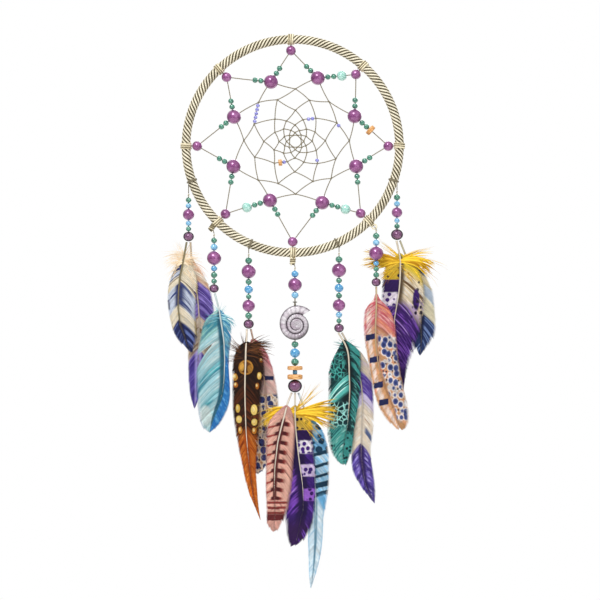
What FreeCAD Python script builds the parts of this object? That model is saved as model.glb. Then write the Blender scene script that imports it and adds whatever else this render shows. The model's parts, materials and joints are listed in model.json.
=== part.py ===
import FreeCAD, Part
import math
import os

# Dream catcher: a wrapped steel ring with a beaded thread web, and seven bead strands with feathers.
# Millimetres, +Z up. The origin is the middle of the wrapped ring's tube at its top, where it hangs.
# The ring's plane is XZ, and -Y is towards the front.

V = FreeCAD.Vector

# ring
RING_OUTER_DIAMETER = 152.4
WIRE_RADIUS = 1.5
RING_RADIUS = RING_OUTER_DIAMETER / 2 - WIRE_RADIUS
WRAP_RADIUS = 3.2
WRAP_BORE_RADIUS = 1.55
HOOP_CENTRE = V(0, 0, -RING_RADIUS)

# lashings of cord that tie the web to the ring, as degrees from +X towards +Z
LASHING_ANGLES = [91.0, 48.6, 0.0, -44.7, -90.0, -134.7, -180.0, -226.2]
LASHING_BORE_RADIUS = 3.27
LASHING_RADIUS = 4.0
LASHING_WIDTH = 4.2

# web: radius of each round of knots about the web's own centre, from the ring inwards
WEB_OFFSET = V(1.8, 0, 3.3)
ANCHOR_RADIUS = 66.9
ROUND_RADII = [46.0, 36.9, 31.1, 21.5, 15.7, 11.6, 8.2, 6.0]
EYE_RADIUS = 4.4
THREAD = 0.7
KNOT_RADIUS = 0.7
KNOT_WANDER = 0.025
KNOT_TURN = 1.3
SMALL_PEARL = 7.0
LARGE_PEARL = 10.0
GREEN_BEAD = 4.0
AQUA_BEAD = 7.2
LILAC_BEAD = 2.7
WEB_WOOD_DIAMETER = 7.2
WEB_WOOD_WIDTH = 3.2
SMALL_WOOD_DIAMETER = 4.6
SMALL_WOOD_WIDTH = 2.6
BEAD_GAP = 0.1
PEARL_HOLE_RADIUS = 0.75
# accents beyond the green beads, as (large pearl, lashing) pairs
AQUA_PLACES = [(0, 1), (4, 5), (3, 3)]
WOOD_PLACE = (1, 2)
# lilac beads beside a knot: the knot and the one they run towards, as (level, index), and how many
LILAC_ROWS = [
    ((2, 7), (3, 6), 5),
    ((4, 1), (5, 0), 2),
    ((3, 1), (2, 2), 1),
    ((4, 3), (5, 2), 1),
    ((5, 4), (4, 5), 1),
]
FIRST_LILAC = 2.3
# the turned wood bead sits beside the last lilac row's bead
SMALL_WOOD_ROW = -1

# strands
CORD_RADIUS = 0.4
BEAD_HOLE_RADIUS = 0.55
KNOT_BALL_RADIUS = 0.6
KNOT_ABOVE_BEADS = 1.5
TIE_ABOVE_KNOT = 1.05
TIE_THREAD_RADIUS = 0.35
THREAD_TIE_WIDTH = 1.4
DISC_DIAMETER = 10.6
TUBE_DIAMETER = 3.2
CORD_ABOVE_BEADS = 0.5
CORD_INSIDE_END = 0.6
BEAD_EASE = 0.25

# feathers
VANE_THICKNESS = 1.0
QUILL_RADIUS = 0.75
FEATHER_DROP = 0.5
CROWN_RISE = 3.0
CROWN_WIDTH = 2.2

# pendant
PENDANT_WIDTH = 21.4
PENDANT_HEIGHT = 24.2
PENDANT_THICKNESS = 4.0
PENDANT_EASE = 1.3
PENDANT_EYE_RADIUS = 9.0
PENDANT_EYE_DEPTH = 1.0
PENDANT_Y = -6.4
LAST_BEAD_ABOVE_BAIL = 2
BAIL_DROP = 2.6
BAIL_RADIUS = 1.5
BAIL_WIRE_RADIUS = 0.45
NECK_RADIUS = 0.7
NECK_LENGTH = 2.0
NECK_OVERLAP = 2.5

# Each strand: x, y, the top of its first bead, and its beads from the top down.
# A bead is a kind and a height. Kinds: green, blue, plum, disc, tube, end and gap.
STRANDS = {
    "far_left": dict(x=-73.0, y=2.5, top=-110.4, beads=[
        ("green", 4.0), ("blue", 4.0), ("plum", 8.0), ("blue", 4.0), ("green", 3.7), ("end", 6.8)]),
    "left": dict(x=-55.0, y=-1.0, top=-138.7, beads=[
        ("green", 4.2), ("blue", 5.0), ("plum", 10.0), ("blue", 4.4), ("green", 4.5), ("green", 4.0),
        ("end", 6.0)]),
    "inner_left": dict(x=-30.8, y=-1.5, top=-152.5, beads=[
        ("green", 4.9), ("plum", 10.0), ("green", 4.4), ("blue", 6.0), ("green", 3.8), ("plum", 8.8),
        ("green", 4.9), ("end", 6.6)]),
    "centre": dict(x=1.6, y=-3.0, top=-161.8, beads=[
        ("blue", 5.0), ("plum", 9.6), ("blue", 5.0), ("gap", 29.2), ("green", 4.9), ("blue", 7.0),
        ("green", 5.4), ("disc", 2.8), ("tube", 2.9), ("disc", 3.5), ("end", 9.0)]),
    "inner_right": dict(x=32.4, y=-1.5, top=-151.6, beads=[
        ("green", 4.9), ("plum", 10.0), ("green", 4.2), ("blue", 6.2), ("green", 4.3), ("plum", 8.8),
        ("blue", 4.5), ("green", 3.7), ("end", 6.2)]),
    "right": dict(x=58.4, y=-2.0, top=-135.3, beads=[
        ("green", 4.6), ("blue", 4.7), ("plum", 10.0), ("blue", 3.9), ("green", 3.8), ("green", 4.2),
        ("end", 5.9)]),
    "far_right": dict(x=73.1, y=2.5, top=-108.3, beads=[
        ("green", 4.5), ("blue", 4.3), ("plum", 7.5), ("blue", 3.8), ("green", 3.9), ("end", 7.7)]),
}
END_BEAD_SQUASH = 1.1
# strands that hang from a wound knot under a lashing: the lashing's angle and the knot's radius
DROP_KNOTS = {"left": (-134.7, 2.1), "centre": (-90.0, 2.6), "right": (-44.7, 2.1)}
DROP_KNOT_OVERLAP = 0.6
DROP_KNOT_FORWARD = 0.6

# Each feather: its strand, where its quill starts beside the strand's axis, the plane of its vane,
# a round or pointed tip, rows of (drop, left edge, quill, right edge) down the vane, and the tip.
FEATHERS = {
    "cream_navy_feather": dict(strand="far_left", start=(-1.3, -0.8), y=2.0, tip="pointed", rows=[
        (15, -7, -4, 0), (24, -12, -6, 5.5), (34.5, -14.5, -7, 6.5), (46.5, -14.5, -7.5, 5),
        (59, -12, -6, 5.5), (66, -9.5, -4, 6), (73, -4, -0.5, 4.5)], end=(78, 2.5)),
    "peach_violet_feather": dict(strand="far_left", start=(1.3, 0.8), y=5.5, tip="pointed", rows=[
        (15, -1.5, 2, 4.5), (27.5, -1.5, 4.5, 12.5), (41.5, -1.5, 6.5, 17), (55.5, -1.5, 7.5, 18.5),
        (73, -1, 7, 16.5), (90.5, -0.5, 6.5, 13), (105.5, 0.5, 5.5, 9)], end=(117.5, 4)),
    "sky_blue_feather": dict(strand="left", start=(0.5, -0.3), y=-3.0, tip="round", rows=[
        (14.5, -1, 4, 7), (21, -7, 5, 11), (33.5, -10, 7, 12), (47.5, -12, 7.5, 10.5),
        (61.5, -12.5, 7, 11), (75.5, -12, 5, 11), (87, -10.5, 1.5, 7), (94, -8, -1, 2)],
        end=(97.5, -3)),
    "brown_spotted_feather": dict(strand="inner_left", start=(-1.3, -0.8), y=-5.5, tip="pointed", rows=[
        (11.5, -6, -2, 4.5), (20.5, -10.5, -2, 10), (32.5, -11.5, -2.5, 11.5), (50, -11.5, -2.5, 9),
        (67.5, -10, -2, 8), (81.5, -7.5, -1, 6.5), (95.5, -4.5, 0.5, 5.5), (111, -1, 2.5, 6),
        (123.5, 4, 6, 7)], end=(134, 8.5)),
    "pink_navy_feather": dict(strand="inner_left", start=(1.3, 0.8), y=2.6, tip="round", rows=[
        (9.5, 1, 3.5, 7), (18.5, 1, 7, 13.5), (32.5, 1.5, 10.5, 18), (46.5, 2.5, 12, 20.5),
        (64, 3, 12.5, 21), (81.5, 3, 10.5, 19), (94, 3.5, 8, 13.5)], end=(102, 6)),
    "dusty_rose_feather": dict(strand="centre", start=(-2.1, -1.2), y=-9.6, tip="round", rows=[
        (11.5, -10, -6, -3), (20, -18, -8.5, -0.5), (34, -20.5, -12, 0), (51.5, -20.5, -14, -1),
        (69, -20.5, -14.5, -2.5), (83, -20, -15, -5.5), (92.5, -19, -15.5, -10)], end=(97, -15.5)),
    "purple_spotted_feather": dict(strand="centre", start=(0.0, 0.0), y=-7.1, tip="pointed", rows=[
        (11.5, -3, 0, 4), (18.5, -5, 0, 11), (31, -6.5, 1, 12.5), (48, -7.5, 3, 14),
        (65.5, -7.5, 5.5, 14.5), (83, -7.5, 6, 13.5), (97, -6, 3, 10), (104, -4.5, -0.5, 4.5)],
        end=(107.5, -3)),
    "blue_barred_feather": dict(strand="centre", start=(2.1, 1.2), y=-4.6, tip="pointed", rows=[
        (20, 6, 9, 13.5), (27, 5.5, 10, 19.5), (37.5, 5.5, 12, 23), (55, 6.5, 13.5, 24),
        (72.5, 8, 14.5, 23), (84.5, 9, 14.5, 20.5), (100.5, 9, 14.5, 19.5), (118, 9.5, 13.5, 17),
        (130, 10, 12, 13.5)], end=(137, 11)),
    "teal_feather": dict(strand="inner_right", start=(-0.9, -0.8), y=-2.4, tip="round", rows=[
        (8, 1.5, 4.5, 8.5), (14, -2, 6.5, 14.5), (23.5, -6.5, 7, 15.5), (41, -7.5, 7.5, 15),
        (58.5, -8.5, 6.5, 12.5), (76, -7.5, 5, 10), (86.5, -4, 4, 8)], end=(92.5, 3.5)),
    "cream_purple_feather": dict(strand="inner_right", start=(1.6, 0.8), y=1.4, tip="pointed", rows=[
        (12, 7, 9, 13.5), (21.5, 7, 12.5, 20.5), (37.5, 7.5, 16, 24), (51.5, 8.5, 16.5, 24.5),
        (69, 9, 16, 24), (86.5, 8.5, 15.5, 22.5), (97, 9.5, 17, 24), (109, 16, 20.5, 25.5)],
        end=(120, 25)),
    "peach_spotted_feather": dict(strand="right", start=(0.0, -0.3), y=-5.0, tip="round", rows=[
        (8, -1.5, 0, 2), (14.5, -6.5, 0, 8), (25.5, -9, -0.5, 13), (39.5, -8, -0.5, 14.5),
        (56, -5, 1.5, 16.5), (72, -2, 6.5, 19.5), (86, 2.5, 12, 22.5), (94.5, 8.5, 16.5, 22.5)],
        end=(100, 19.5)),
    "yellow_purple_feather": dict(strand="far_right", start=(-0.6, -0.8), y=3.8, tip="pointed", rows=[
        (12, -1.5, 2.5, 6), (19, -8, 2.5, 13), (32, -10.5, 2, 19), (42.5, -11, 0.5, 19.5),
        (56.5, -11, -2, 17.5), (74, -9, -1, 13), (90, -5, 1.5, 7.5), (100, -0.5, 3.5, 5.5)],
        end=(106, 4.5)),
    "slate_navy_feather": dict(strand="far_right", start=(1.8, 0.8), y=7.2, tip="pointed", rows=[
        (16, 6, 8.5, 12.5), (25, 7, 12.5, 20), (37, 7.5, 15.5, 25.5), (51, 8.5, 16.5, 27),
        (65, 9, 17, 27), (74, 12, 17, 22)], end=(81, 16.5)),
}


def export(shape, node):
    """Write one node's solids and say what they are."""
    if not shape.isValid():
        raise ValueError(node + " is not valid")
    shape.exportStep("parts/" + node + ".step")
    box = shape.BoundBox
    print(
        f"{node}: {len(shape.Solids)} solids, {shape.Volume:.1f} mm3,"
        f" x {box.XMin:.1f}..{box.XMax:.1f}, y {box.YMin:.1f}..{box.YMax:.1f},"
        f" z {box.ZMin:.1f}..{box.ZMax:.1f}"
    )


def polar(centre, radius, degrees):
    """A point in the ring's plane, at an angle from +X towards +Z."""
    angle = math.radians(degrees)
    return centre + V(radius * math.cos(angle), 0, radius * math.sin(angle))


def rod(start, end, radius):
    """A round bar from one point to another."""
    path = end - start
    return Part.makeCylinder(radius, path.Length, start, path)


# ---------------------------------------------------------------- ring and ties


def hoop_ring():
    return Part.makeTorus(RING_RADIUS, WIRE_RADIUS, HOOP_CENTRE, V(0, 1, 0))


def hoop_wrap():
    outer = Part.makeTorus(RING_RADIUS, WRAP_RADIUS, HOOP_CENTRE, V(0, 1, 0))
    return outer.cut(Part.makeTorus(RING_RADIUS, WRAP_BORE_RADIUS, HOOP_CENTRE, V(0, 1, 0)))


def sleeve(degrees, bore, radius, width):
    """A short band round the ring's tube, centred at an angle."""
    along = polar(V(0, 0, 0), 1, degrees + 90)
    start = polar(HOOP_CENTRE, RING_RADIUS, degrees) - along * (width / 2)
    return Part.makeCylinder(radius, width, start, along).cut(
        Part.makeCylinder(bore, width, start, along)
    )


def web_lashings():
    return Part.makeCompound(
        [sleeve(angle, LASHING_BORE_RADIUS, LASHING_RADIUS, LASHING_WIDTH) for angle in LASHING_ANGLES]
    )


def knot_ball_centre(strand):
    return V(strand["x"], strand["y"], strand["top"] + KNOT_ABOVE_BEADS)


def drop_tie(name):
    """The wound knot under a lashing, with the short thread that its strand hangs from."""
    degrees, radius = DROP_KNOTS[name]
    end = knot_ball_centre(STRANDS[name]) + V(0, 0, TIE_ABOVE_KNOT)
    forward = DROP_KNOT_FORWARD * end.y
    gap = LASHING_RADIUS + radius - DROP_KNOT_OVERLAP
    knot_centre = polar(V(0, forward, HOOP_CENTRE.z), RING_RADIUS + math.sqrt(gap**2 - forward**2), degrees)
    thread = rod(V(end.x, end.y, knot_centre.z), end, TIE_THREAD_RADIUS)
    along = polar(V(0, 0, 0), 1, degrees + 90)
    start = polar(HOOP_CENTRE, RING_RADIUS, degrees) - along * LASHING_WIDTH
    lashing = Part.makeCylinder(LASHING_RADIUS, 2 * LASHING_WIDTH, start, along)
    return Part.makeSphere(radius, knot_centre).fuse(thread).cut(lashing)


def thread_tie(name):
    """A thin thread round the ring's tube, with the end that its strand hangs from."""
    end = knot_ball_centre(STRANDS[name]) + V(0, 0, TIE_ABOVE_KNOT)
    out = RING_RADIUS + math.sqrt((LASHING_BORE_RADIUS + TIE_THREAD_RADIUS) ** 2 - end.y**2)
    degrees = -math.degrees(math.acos(end.x / out))
    hang = polar(V(0, end.y, HOOP_CENTRE.z), out, degrees)
    band_radius = LASHING_BORE_RADIUS + 2 * TIE_THREAD_RADIUS
    band = sleeve(degrees, LASHING_BORE_RADIUS, band_radius, THREAD_TIE_WIDTH)
    return band.fuse(rod(hang, end, TIE_THREAD_RADIUS))


def strand_ties():
    return Part.makeCompound(
        [drop_tie(name) if name in DROP_KNOTS else thread_tie(name) for name in STRANDS]
    )


# ---------------------------------------------------------------- web


def spoke_angle(index, between):
    """The angle of a lashing, or of the place halfway to the next one."""
    first = LASHING_ANGLES[index % 8]
    if not between:
        return first
    second = LASHING_ANGLES[(index + 1) % 8]
    if second > first:
        second -= 360
    return (first + second) / 2


def web_point(level, index):
    """A knot of the web. Level 0 is at the ring, and odd levels sit between the lashings."""
    index %= 8
    if level == 0:
        return polar(HOOP_CENTRE, ANCHOR_RADIUS, spoke_angle(index, False))
    centre = HOOP_CENTRE + WEB_OFFSET
    if level <= len(ROUND_RADII):
        radius = ROUND_RADII[level - 1]
    else:
        radius = EYE_RADIUS
    wander = KNOT_WANDER * math.sin(2.3 * index + 1.7 * level)
    turn = KNOT_TURN * math.sin(1.9 * index + 2.6 * level)
    return polar(centre, radius * (1 + wander), spoke_angle(index, level % 2 == 1) + turn)


def neighbours_outside(level, index):
    """The two knots of the round outside that a knot's threads run to."""
    other = (index + 1) % 8 if level % 2 == 1 else (index - 1) % 8
    return [(level - 1, index), (level - 1, other)]


def flat_bar(start, end, width):
    """A flat face along a thread, in the ring's plane."""
    along = (end - start).normalize()
    side = V(along.z, 0, -along.x) * (width / 2)
    return Part.Face(Part.makePolygon([start + side, end + side, end - side, start - side, start + side]))


def flat_disc(centre, radius):
    return Part.Face(Part.Wire(Part.Circle(centre, V(0, -1, 0), radius).toShape()))


def net(faces):
    """Threads and knots joined in one plane and given the thread's thickness."""
    joined = faces[0].multiFuse(faces[1:]).removeSplitter()
    solid = joined.extrude(V(0, THREAD, 0))
    solid.translate(V(0, -THREAD / 2, 0))
    return solid


def web_first_round():
    faces = []
    for index in range(8):
        anchor = web_point(0, index)
        degrees = spoke_angle(index, False)
        edge = polar(HOOP_CENTRE, RING_RADIUS - LASHING_RADIUS - BEAD_GAP, degrees)
        faces.append(flat_bar(anchor, edge, THREAD))
        faces.append(flat_disc(anchor, KNOT_RADIUS))
        knot = web_point(1, index)
        faces.append(flat_disc(knot, KNOT_RADIUS))
        for level, other in neighbours_outside(1, index):
            faces.append(flat_bar(knot, web_point(level, other), THREAD))
    return net(faces)


def web_inner_rounds():
    faces = []
    last = len(ROUND_RADII) + 1
    for level in range(2, last + 1):
        for index in range(8):
            knot = web_point(level, index)
            faces.append(flat_disc(knot, KNOT_RADIUS))
            for outer_level, other in neighbours_outside(level, index):
                outer = web_point(outer_level, other)
                if outer_level == 1:
                    outer = outer + (knot - outer).normalize() * (KNOT_RADIUS + BEAD_GAP)
                faces.append(flat_bar(knot, outer, THREAD))
    for index in range(8):
        faces.append(flat_bar(web_point(last, index), web_point(last, index + 1), THREAD))
    return net(faces)


def web_pearl(centre, diameter, ends):
    """A pearl with a hole along each of its threads."""
    pearl = Part.makeSphere(diameter / 2, centre)
    for end in ends:
        pearl = pearl.cut(Part.makeCylinder(PEARL_HOLE_RADIUS, diameter, centre, end - centre))
    return pearl


def web_pearls():
    pearls = []
    for index in range(8):
        anchor = web_point(0, index)
        outside = polar(HOOP_CENTRE, RING_RADIUS, spoke_angle(index, False))
        ends = [outside, web_point(1, index), web_point(1, index - 1)]
        pearls.append(web_pearl(anchor, SMALL_PEARL, ends))
        knot = web_point(1, index)
        ends = [web_point(level, other) for level, other in neighbours_outside(1, index)]
        ends += [web_point(2, index), web_point(2, index + 1)]
        pearls.append(web_pearl(knot, LARGE_PEARL, ends))
    return Part.makeCompound(pearls)


def bead_on(start, end, distance, diameter):
    """A round bead threaded on the web, its middle at a distance from the start."""
    along = (end - start).normalize()
    middle = start + along * distance
    bead = Part.makeSphere(diameter / 2, middle)
    return bead.cut(rod(middle - along * diameter, middle + along * diameter, BEAD_HOLE_RADIUS))


def disc_on(start, end, distance, diameter, width):
    """A turned disc threaded on the web."""
    along = (end - start).normalize()
    face = start + along * (distance - width / 2)
    disc = Part.makeCylinder(diameter / 2, width, face, along)
    disc = disc.makeFillet(width * BEAD_EASE, [edge for edge in disc.Edges if edge.Closed])
    return disc.cut(rod(face - along * width, face + along * 2 * width, BEAD_HOLE_RADIUS))


def first_bead_distance(number):
    """How far the middle of a green bead is from the middle of its large pearl."""
    return LARGE_PEARL / 2 + BEAD_GAP + GREEN_BEAD / 2 + (number - 1) * (GREEN_BEAD + BEAD_GAP)


def web_green_beads():
    beads = []
    for index in range(8):
        knot = web_point(1, index)
        for level, other in neighbours_outside(1, index):
            for number in (1, 2):
                beads.append(bead_on(knot, web_point(level, other), first_bead_distance(number), GREEN_BEAD))
    return Part.makeCompound(beads)


def web_glass_beads():
    beads = []
    beyond = first_bead_distance(2) + GREEN_BEAD / 2 + BEAD_GAP
    for pearl, lashing in AQUA_PLACES:
        beads.append(
            bead_on(web_point(1, pearl), web_point(0, lashing), beyond + AQUA_BEAD / 2, AQUA_BEAD)
        )
    for start, end, count in LILAC_ROWS:
        for number in range(count):
            distance = FIRST_LILAC + number * (LILAC_BEAD + BEAD_GAP)
            beads.append(bead_on(web_point(*start), web_point(*end), distance, LILAC_BEAD))
    return Part.makeCompound(beads)


def web_wood_beads():
    pearl, lashing = WOOD_PLACE
    beyond = first_bead_distance(2) + GREEN_BEAD / 2 + BEAD_GAP + WEB_WOOD_WIDTH / 2
    large = disc_on(
        web_point(1, pearl), web_point(0, lashing), beyond, WEB_WOOD_DIAMETER, WEB_WOOD_WIDTH
    )
    start, end, _ = LILAC_ROWS[SMALL_WOOD_ROW]
    beside = FIRST_LILAC + LILAC_BEAD / 2 + BEAD_GAP + SMALL_WOOD_WIDTH / 2
    small = disc_on(web_point(*start), web_point(*end), beside, SMALL_WOOD_DIAMETER, SMALL_WOOD_WIDTH)
    return Part.makeCompound([large, small])


# ---------------------------------------------------------------- strands


def bead_places(strand):
    """Kind, height and middle of each bead, stacked down from the strand's top."""
    places = []
    level = strand["top"]
    for kind, height in strand["beads"]:
        places.append((kind, height, level - height / 2))
        level -= height + BEAD_GAP
    return places


def strand_bottom(strand):
    _, height, middle = bead_places(strand)[-1]
    return middle - height / 2


def strand_axis(strand, height):
    return V(strand["x"], strand["y"], height)


def strand_hole(strand):
    bottom = strand_axis(strand, strand_bottom(strand))
    return rod(strand_axis(strand, strand["top"]), bottom, BEAD_HOLE_RADIUS)


def oval(centre, width, height):
    """A bead turned about Z that is a little wider than it is high."""
    squash = FreeCAD.Matrix()
    squash.scale(width / 2, width / 2, height / 2)
    bead = Part.makeSphere(1.0).transformGeometry(squash)
    bead.translate(centre)
    return bead


def turned(centre, diameter, height):
    """A disc or a tube bead with eased rims."""
    body = Part.makeCylinder(diameter / 2, height, centre - V(0, 0, height / 2), V(0, 0, 1))
    return body.makeFillet(min(height, diameter) * BEAD_EASE, [edge for edge in body.Edges if edge.Closed])


def strand_beads(strand, kinds):
    """The strand's beads of some kinds, each drilled for the cord."""
    hole = strand_hole(strand)
    beads = []
    for kind, height, middle in bead_places(strand):
        if kind not in kinds:
            continue
        centre = strand_axis(strand, middle)
        if kind == "disc":
            bead = turned(centre, DISC_DIAMETER, height)
        elif kind == "tube":
            bead = turned(centre, TUBE_DIAMETER, height)
        elif kind == "end":
            bead = oval(centre, height * END_BEAD_SQUASH, height)
        else:
            bead = Part.makeSphere(height / 2, centre)
        beads.append(bead.cut(hole))
    return Part.makeCompound(beads) if len(beads) > 1 else beads[0]


def strand_cord(strand):
    top = strand_axis(strand, strand["top"] + CORD_ABOVE_BEADS)
    bottom = strand_axis(strand, strand_bottom(strand) + CORD_INSIDE_END)
    print(f"cord {(top - bottom).Length:.1f} mm long")
    return rod(top, bottom, CORD_RADIUS)


def strand_knot(strand):
    return Part.makeSphere(KNOT_BALL_RADIUS, knot_ball_centre(strand))


# ---------------------------------------------------------------- pendant


def bail_centre():
    strand = STRANDS["centre"]
    _, height, middle = bead_places(strand)[LAST_BEAD_ABOVE_BAIL]
    return strand_axis(strand, middle - height / 2 - BAIL_DROP)


def ammonite_pendant():
    """An oval fossil shell, its eye sunk at the front, hung from a wire bail round the cord."""
    bail = bail_centre()
    middle = V(bail.x, PENDANT_Y, bail.z - NECK_LENGTH - PENDANT_HEIGHT / 2)
    outline = Part.Ellipse(V(0, 0, PENDANT_HEIGHT / 2), V(PENDANT_WIDTH / 2, 0, 0), V(0, 0, 0))
    shell = Part.Face(Part.Wire(outline.toShape())).extrude(V(0, PENDANT_THICKNESS, 0))
    shell.translate(V(0, -PENDANT_THICKNESS / 2, 0))
    shell = shell.makeFillet(PENDANT_EASE, [edge for edge in shell.Edges if edge.Closed])
    eye = Part.makeSphere(PENDANT_EYE_RADIUS, V(0, -PENDANT_EYE_RADIUS - PENDANT_EYE_DEPTH, 0))
    shell = shell.cut(eye)
    shell.translate(middle)
    ring = Part.makeTorus(BAIL_RADIUS, BAIL_WIRE_RADIUS, bail, V(0, 0, 1))
    neck_top = bail + V(0, -BAIL_RADIUS, 0)
    neck_bottom = middle + V(0, 0, PENDANT_HEIGHT / 2 - NECK_OVERLAP)
    neck = rod(neck_top, neck_bottom, NECK_RADIUS)
    return shell.fuse([ring, neck, Part.makeSphere(NECK_RADIUS, neck_top)])


# ---------------------------------------------------------------- feathers


def feather_hinge(feather):
    strand = STRANDS[feather["strand"]]
    side, front = feather["start"]
    return V(strand["x"] + side, strand["y"] + front, strand_bottom(strand) - FEATHER_DROP)


def vane_point(feather, drop, across):
    strand = STRANDS[feather["strand"]]
    return V(strand["x"] + across, feather["y"], strand_bottom(strand) - drop)


def curve(points):
    spline = Part.BSplineCurve()
    spline.interpolate(points)
    return spline.toShape()


def vane(feather):
    """The flat blade of a feather, from its outline."""
    rows = feather["rows"]
    first = rows[0]
    crown = [vane_point(feather, first[0] - CROWN_RISE, first[2] + side * CROWN_WIDTH / 2) for side in (-1, 1)]
    tip = vane_point(feather, *feather["end"])
    left = [crown[0]] + [vane_point(feather, row[0], row[1]) for row in rows]
    right = [crown[1]] + [vane_point(feather, row[0], row[3]) for row in rows]
    edges = [Part.LineSegment(crown[0], crown[1]).toShape()]
    if feather["tip"] == "round":
        edges += [curve(right + [tip] + left[::-1])]
    else:
        edges += [curve(right + [tip]), curve([tip] + left[::-1])]
    blade = Part.Face(Part.Wire(edges)).extrude(V(0, VANE_THICKNESS, 0))
    blade.translate(V(0, -VANE_THICKNESS / 2, 0))
    return blade


def feather_solid(feather):
    """The blade with its quill, which leans from the end bead into the blade's plane."""
    points = [feather_hinge(feather)]
    points += [vane_point(feather, row[0], row[2]) for row in feather["rows"][:-1]]
    solid = vane(feather)
    for start, end in zip(points, points[1:]):
        reach = end + (end - start).normalize() * QUILL_RADIUS
        solid = solid.fuse(rod(start, reach, QUILL_RADIUS))
    return solid


# ---------------------------------------------------------------- build

os.makedirs("parts", exist_ok=True)

export(hoop_ring(), "hoop_ring")
export(hoop_wrap(), "hoop_wrap")
export(web_lashings(), "web_lashings")
export(strand_ties(), "strand_ties")
export(web_first_round(), "web_first_round")
export(web_inner_rounds(), "web_inner_rounds")
export(web_pearls(), "web_pearls")
export(web_green_beads(), "web_green_beads")
export(web_glass_beads(), "web_glass_beads")
export(web_wood_beads(), "web_wood_beads")

for strand_name, strand_spec in STRANDS.items():
    export(strand_knot(strand_spec), strand_name + "_strand_knot")
    export(strand_cord(strand_spec), strand_name + "_strand_cord")
    export(strand_beads(strand_spec, ["plum"]), strand_name + "_strand_pearls")
    export(strand_beads(strand_spec, ["green", "blue", "tube"]), strand_name + "_strand_seed_beads")
    export(strand_beads(strand_spec, ["end"]), strand_name + "_strand_end_bead")

export(strand_beads(STRANDS["centre"], ["disc"]), "wood_spacers")
export(ammonite_pendant(), "ammonite_pendant")

for feather_name, feather_spec in FEATHERS.items():
    solid = feather_solid(feather_spec)
    hinge = feather_hinge(feather_spec)
    print(f"hinge {feather_name} {hinge.x:.2f} {hinge.y:.2f} {hinge.z:.2f}")
    export(solid, feather_name)

for strand_name, strand_spec in STRANDS.items():
    ball = knot_ball_centre(strand_spec)
    print(f"hinge {strand_name}_strand {ball.x:.2f} {ball.y:.2f} {ball.z:.2f}")
bail = bail_centre()
print(f"hinge ammonite_pendant {bail.x:.2f} {bail.y:.2f} {bail.z:.2f}")
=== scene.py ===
import json
import math
import random

import bpy
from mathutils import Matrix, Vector
from mathutils.bvhtree import BVHTree


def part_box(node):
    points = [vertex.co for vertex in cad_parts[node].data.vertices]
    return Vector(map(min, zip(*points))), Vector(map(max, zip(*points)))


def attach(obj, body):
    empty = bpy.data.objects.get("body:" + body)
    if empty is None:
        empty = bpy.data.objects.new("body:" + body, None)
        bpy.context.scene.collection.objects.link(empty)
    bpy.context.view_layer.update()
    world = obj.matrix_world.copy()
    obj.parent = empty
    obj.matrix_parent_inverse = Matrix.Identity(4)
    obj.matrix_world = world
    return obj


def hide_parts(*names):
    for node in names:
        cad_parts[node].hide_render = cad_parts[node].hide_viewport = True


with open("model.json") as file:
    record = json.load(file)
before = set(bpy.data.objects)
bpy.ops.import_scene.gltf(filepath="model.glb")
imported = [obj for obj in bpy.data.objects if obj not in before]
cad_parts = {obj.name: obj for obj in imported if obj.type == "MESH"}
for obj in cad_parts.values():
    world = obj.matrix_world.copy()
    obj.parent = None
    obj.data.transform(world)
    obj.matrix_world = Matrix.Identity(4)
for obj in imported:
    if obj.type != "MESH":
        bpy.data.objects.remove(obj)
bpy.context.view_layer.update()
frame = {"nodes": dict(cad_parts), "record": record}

# Dream catcher: looks for a wrapped ring with a beaded web, seven bead strands and thirteen feathers.
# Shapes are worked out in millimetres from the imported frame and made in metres.

MM = 0.001
NODES = frame["nodes"]
BODY_OF_NODE = {
    node: body
    for body, entry in frame["record"]["behaviour"]["bodies"].items()
    for node in entry
}

# the ring's wrap, and the lashings that tie the web to it
WRAP_RADIUS = 3.2
ROPE_STRANDS = 6
ROPE_STRAND_RADIUS = 1.05
ROPE_TURNS = 28
LASHING_ANGLES = [91.0, 48.6, 0.0, -44.7, -90.0, -134.7, -180.0, -226.2]
LASHING_CORD_RADIUS = 0.65
LASHING_TURNS = 3
LASHING_RADIUS = 4.0

# the web: radius of each round of knots about the web's own centre
WEB_OFFSET = Vector((1.8, 0, 3.3))
ANCHOR_RADIUS = 66.9
ROUND_RADII = [46.0, 36.9, 31.1, 21.5, 15.7, 11.6, 8.2, 6.0]
EYE_RADIUS = 4.4
KNOT_WANDER = 0.025
KNOT_TURN = 1.3
THREAD_RADIUS = 0.34
THREAD_BOW = 0.25
SAME_PLACE = 0.1
DIMPLE_DEPTH = 0.5
DIMPLE_REACH = 0.95

# the strands
STRANDS = ["far_left", "left", "inner_left", "centre", "inner_right", "right", "far_right"]
PALE_BLUE_STRANDS = ["far_left", "far_right"]
DROP_KNOTS = {"left": -134.7, "centre": -90.0, "right": -44.7}
CORD_DIAMETER = 0.8
BEAD_HOLE_RADIUS = 0.55
TIE_RADIUS = 0.3
TIE_BORE_RADIUS = 3.27

# the pendant's shell: a tube whose reach falls by a fixed ratio with each turn
SHELL_WIDTH = 21.4
SHELL_HEIGHT = 24.2
SHELL_TURNS = 2.6
SHELL_RATIO = 1.72
SHELL_LIP = 50
SHELL_DEPTH = 1.9
SHELL_STEPS = 384
SHELL_SIDES = 20
STEPS_PER_RIB = 7
BAIL_RADIUS = 1.2

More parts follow.
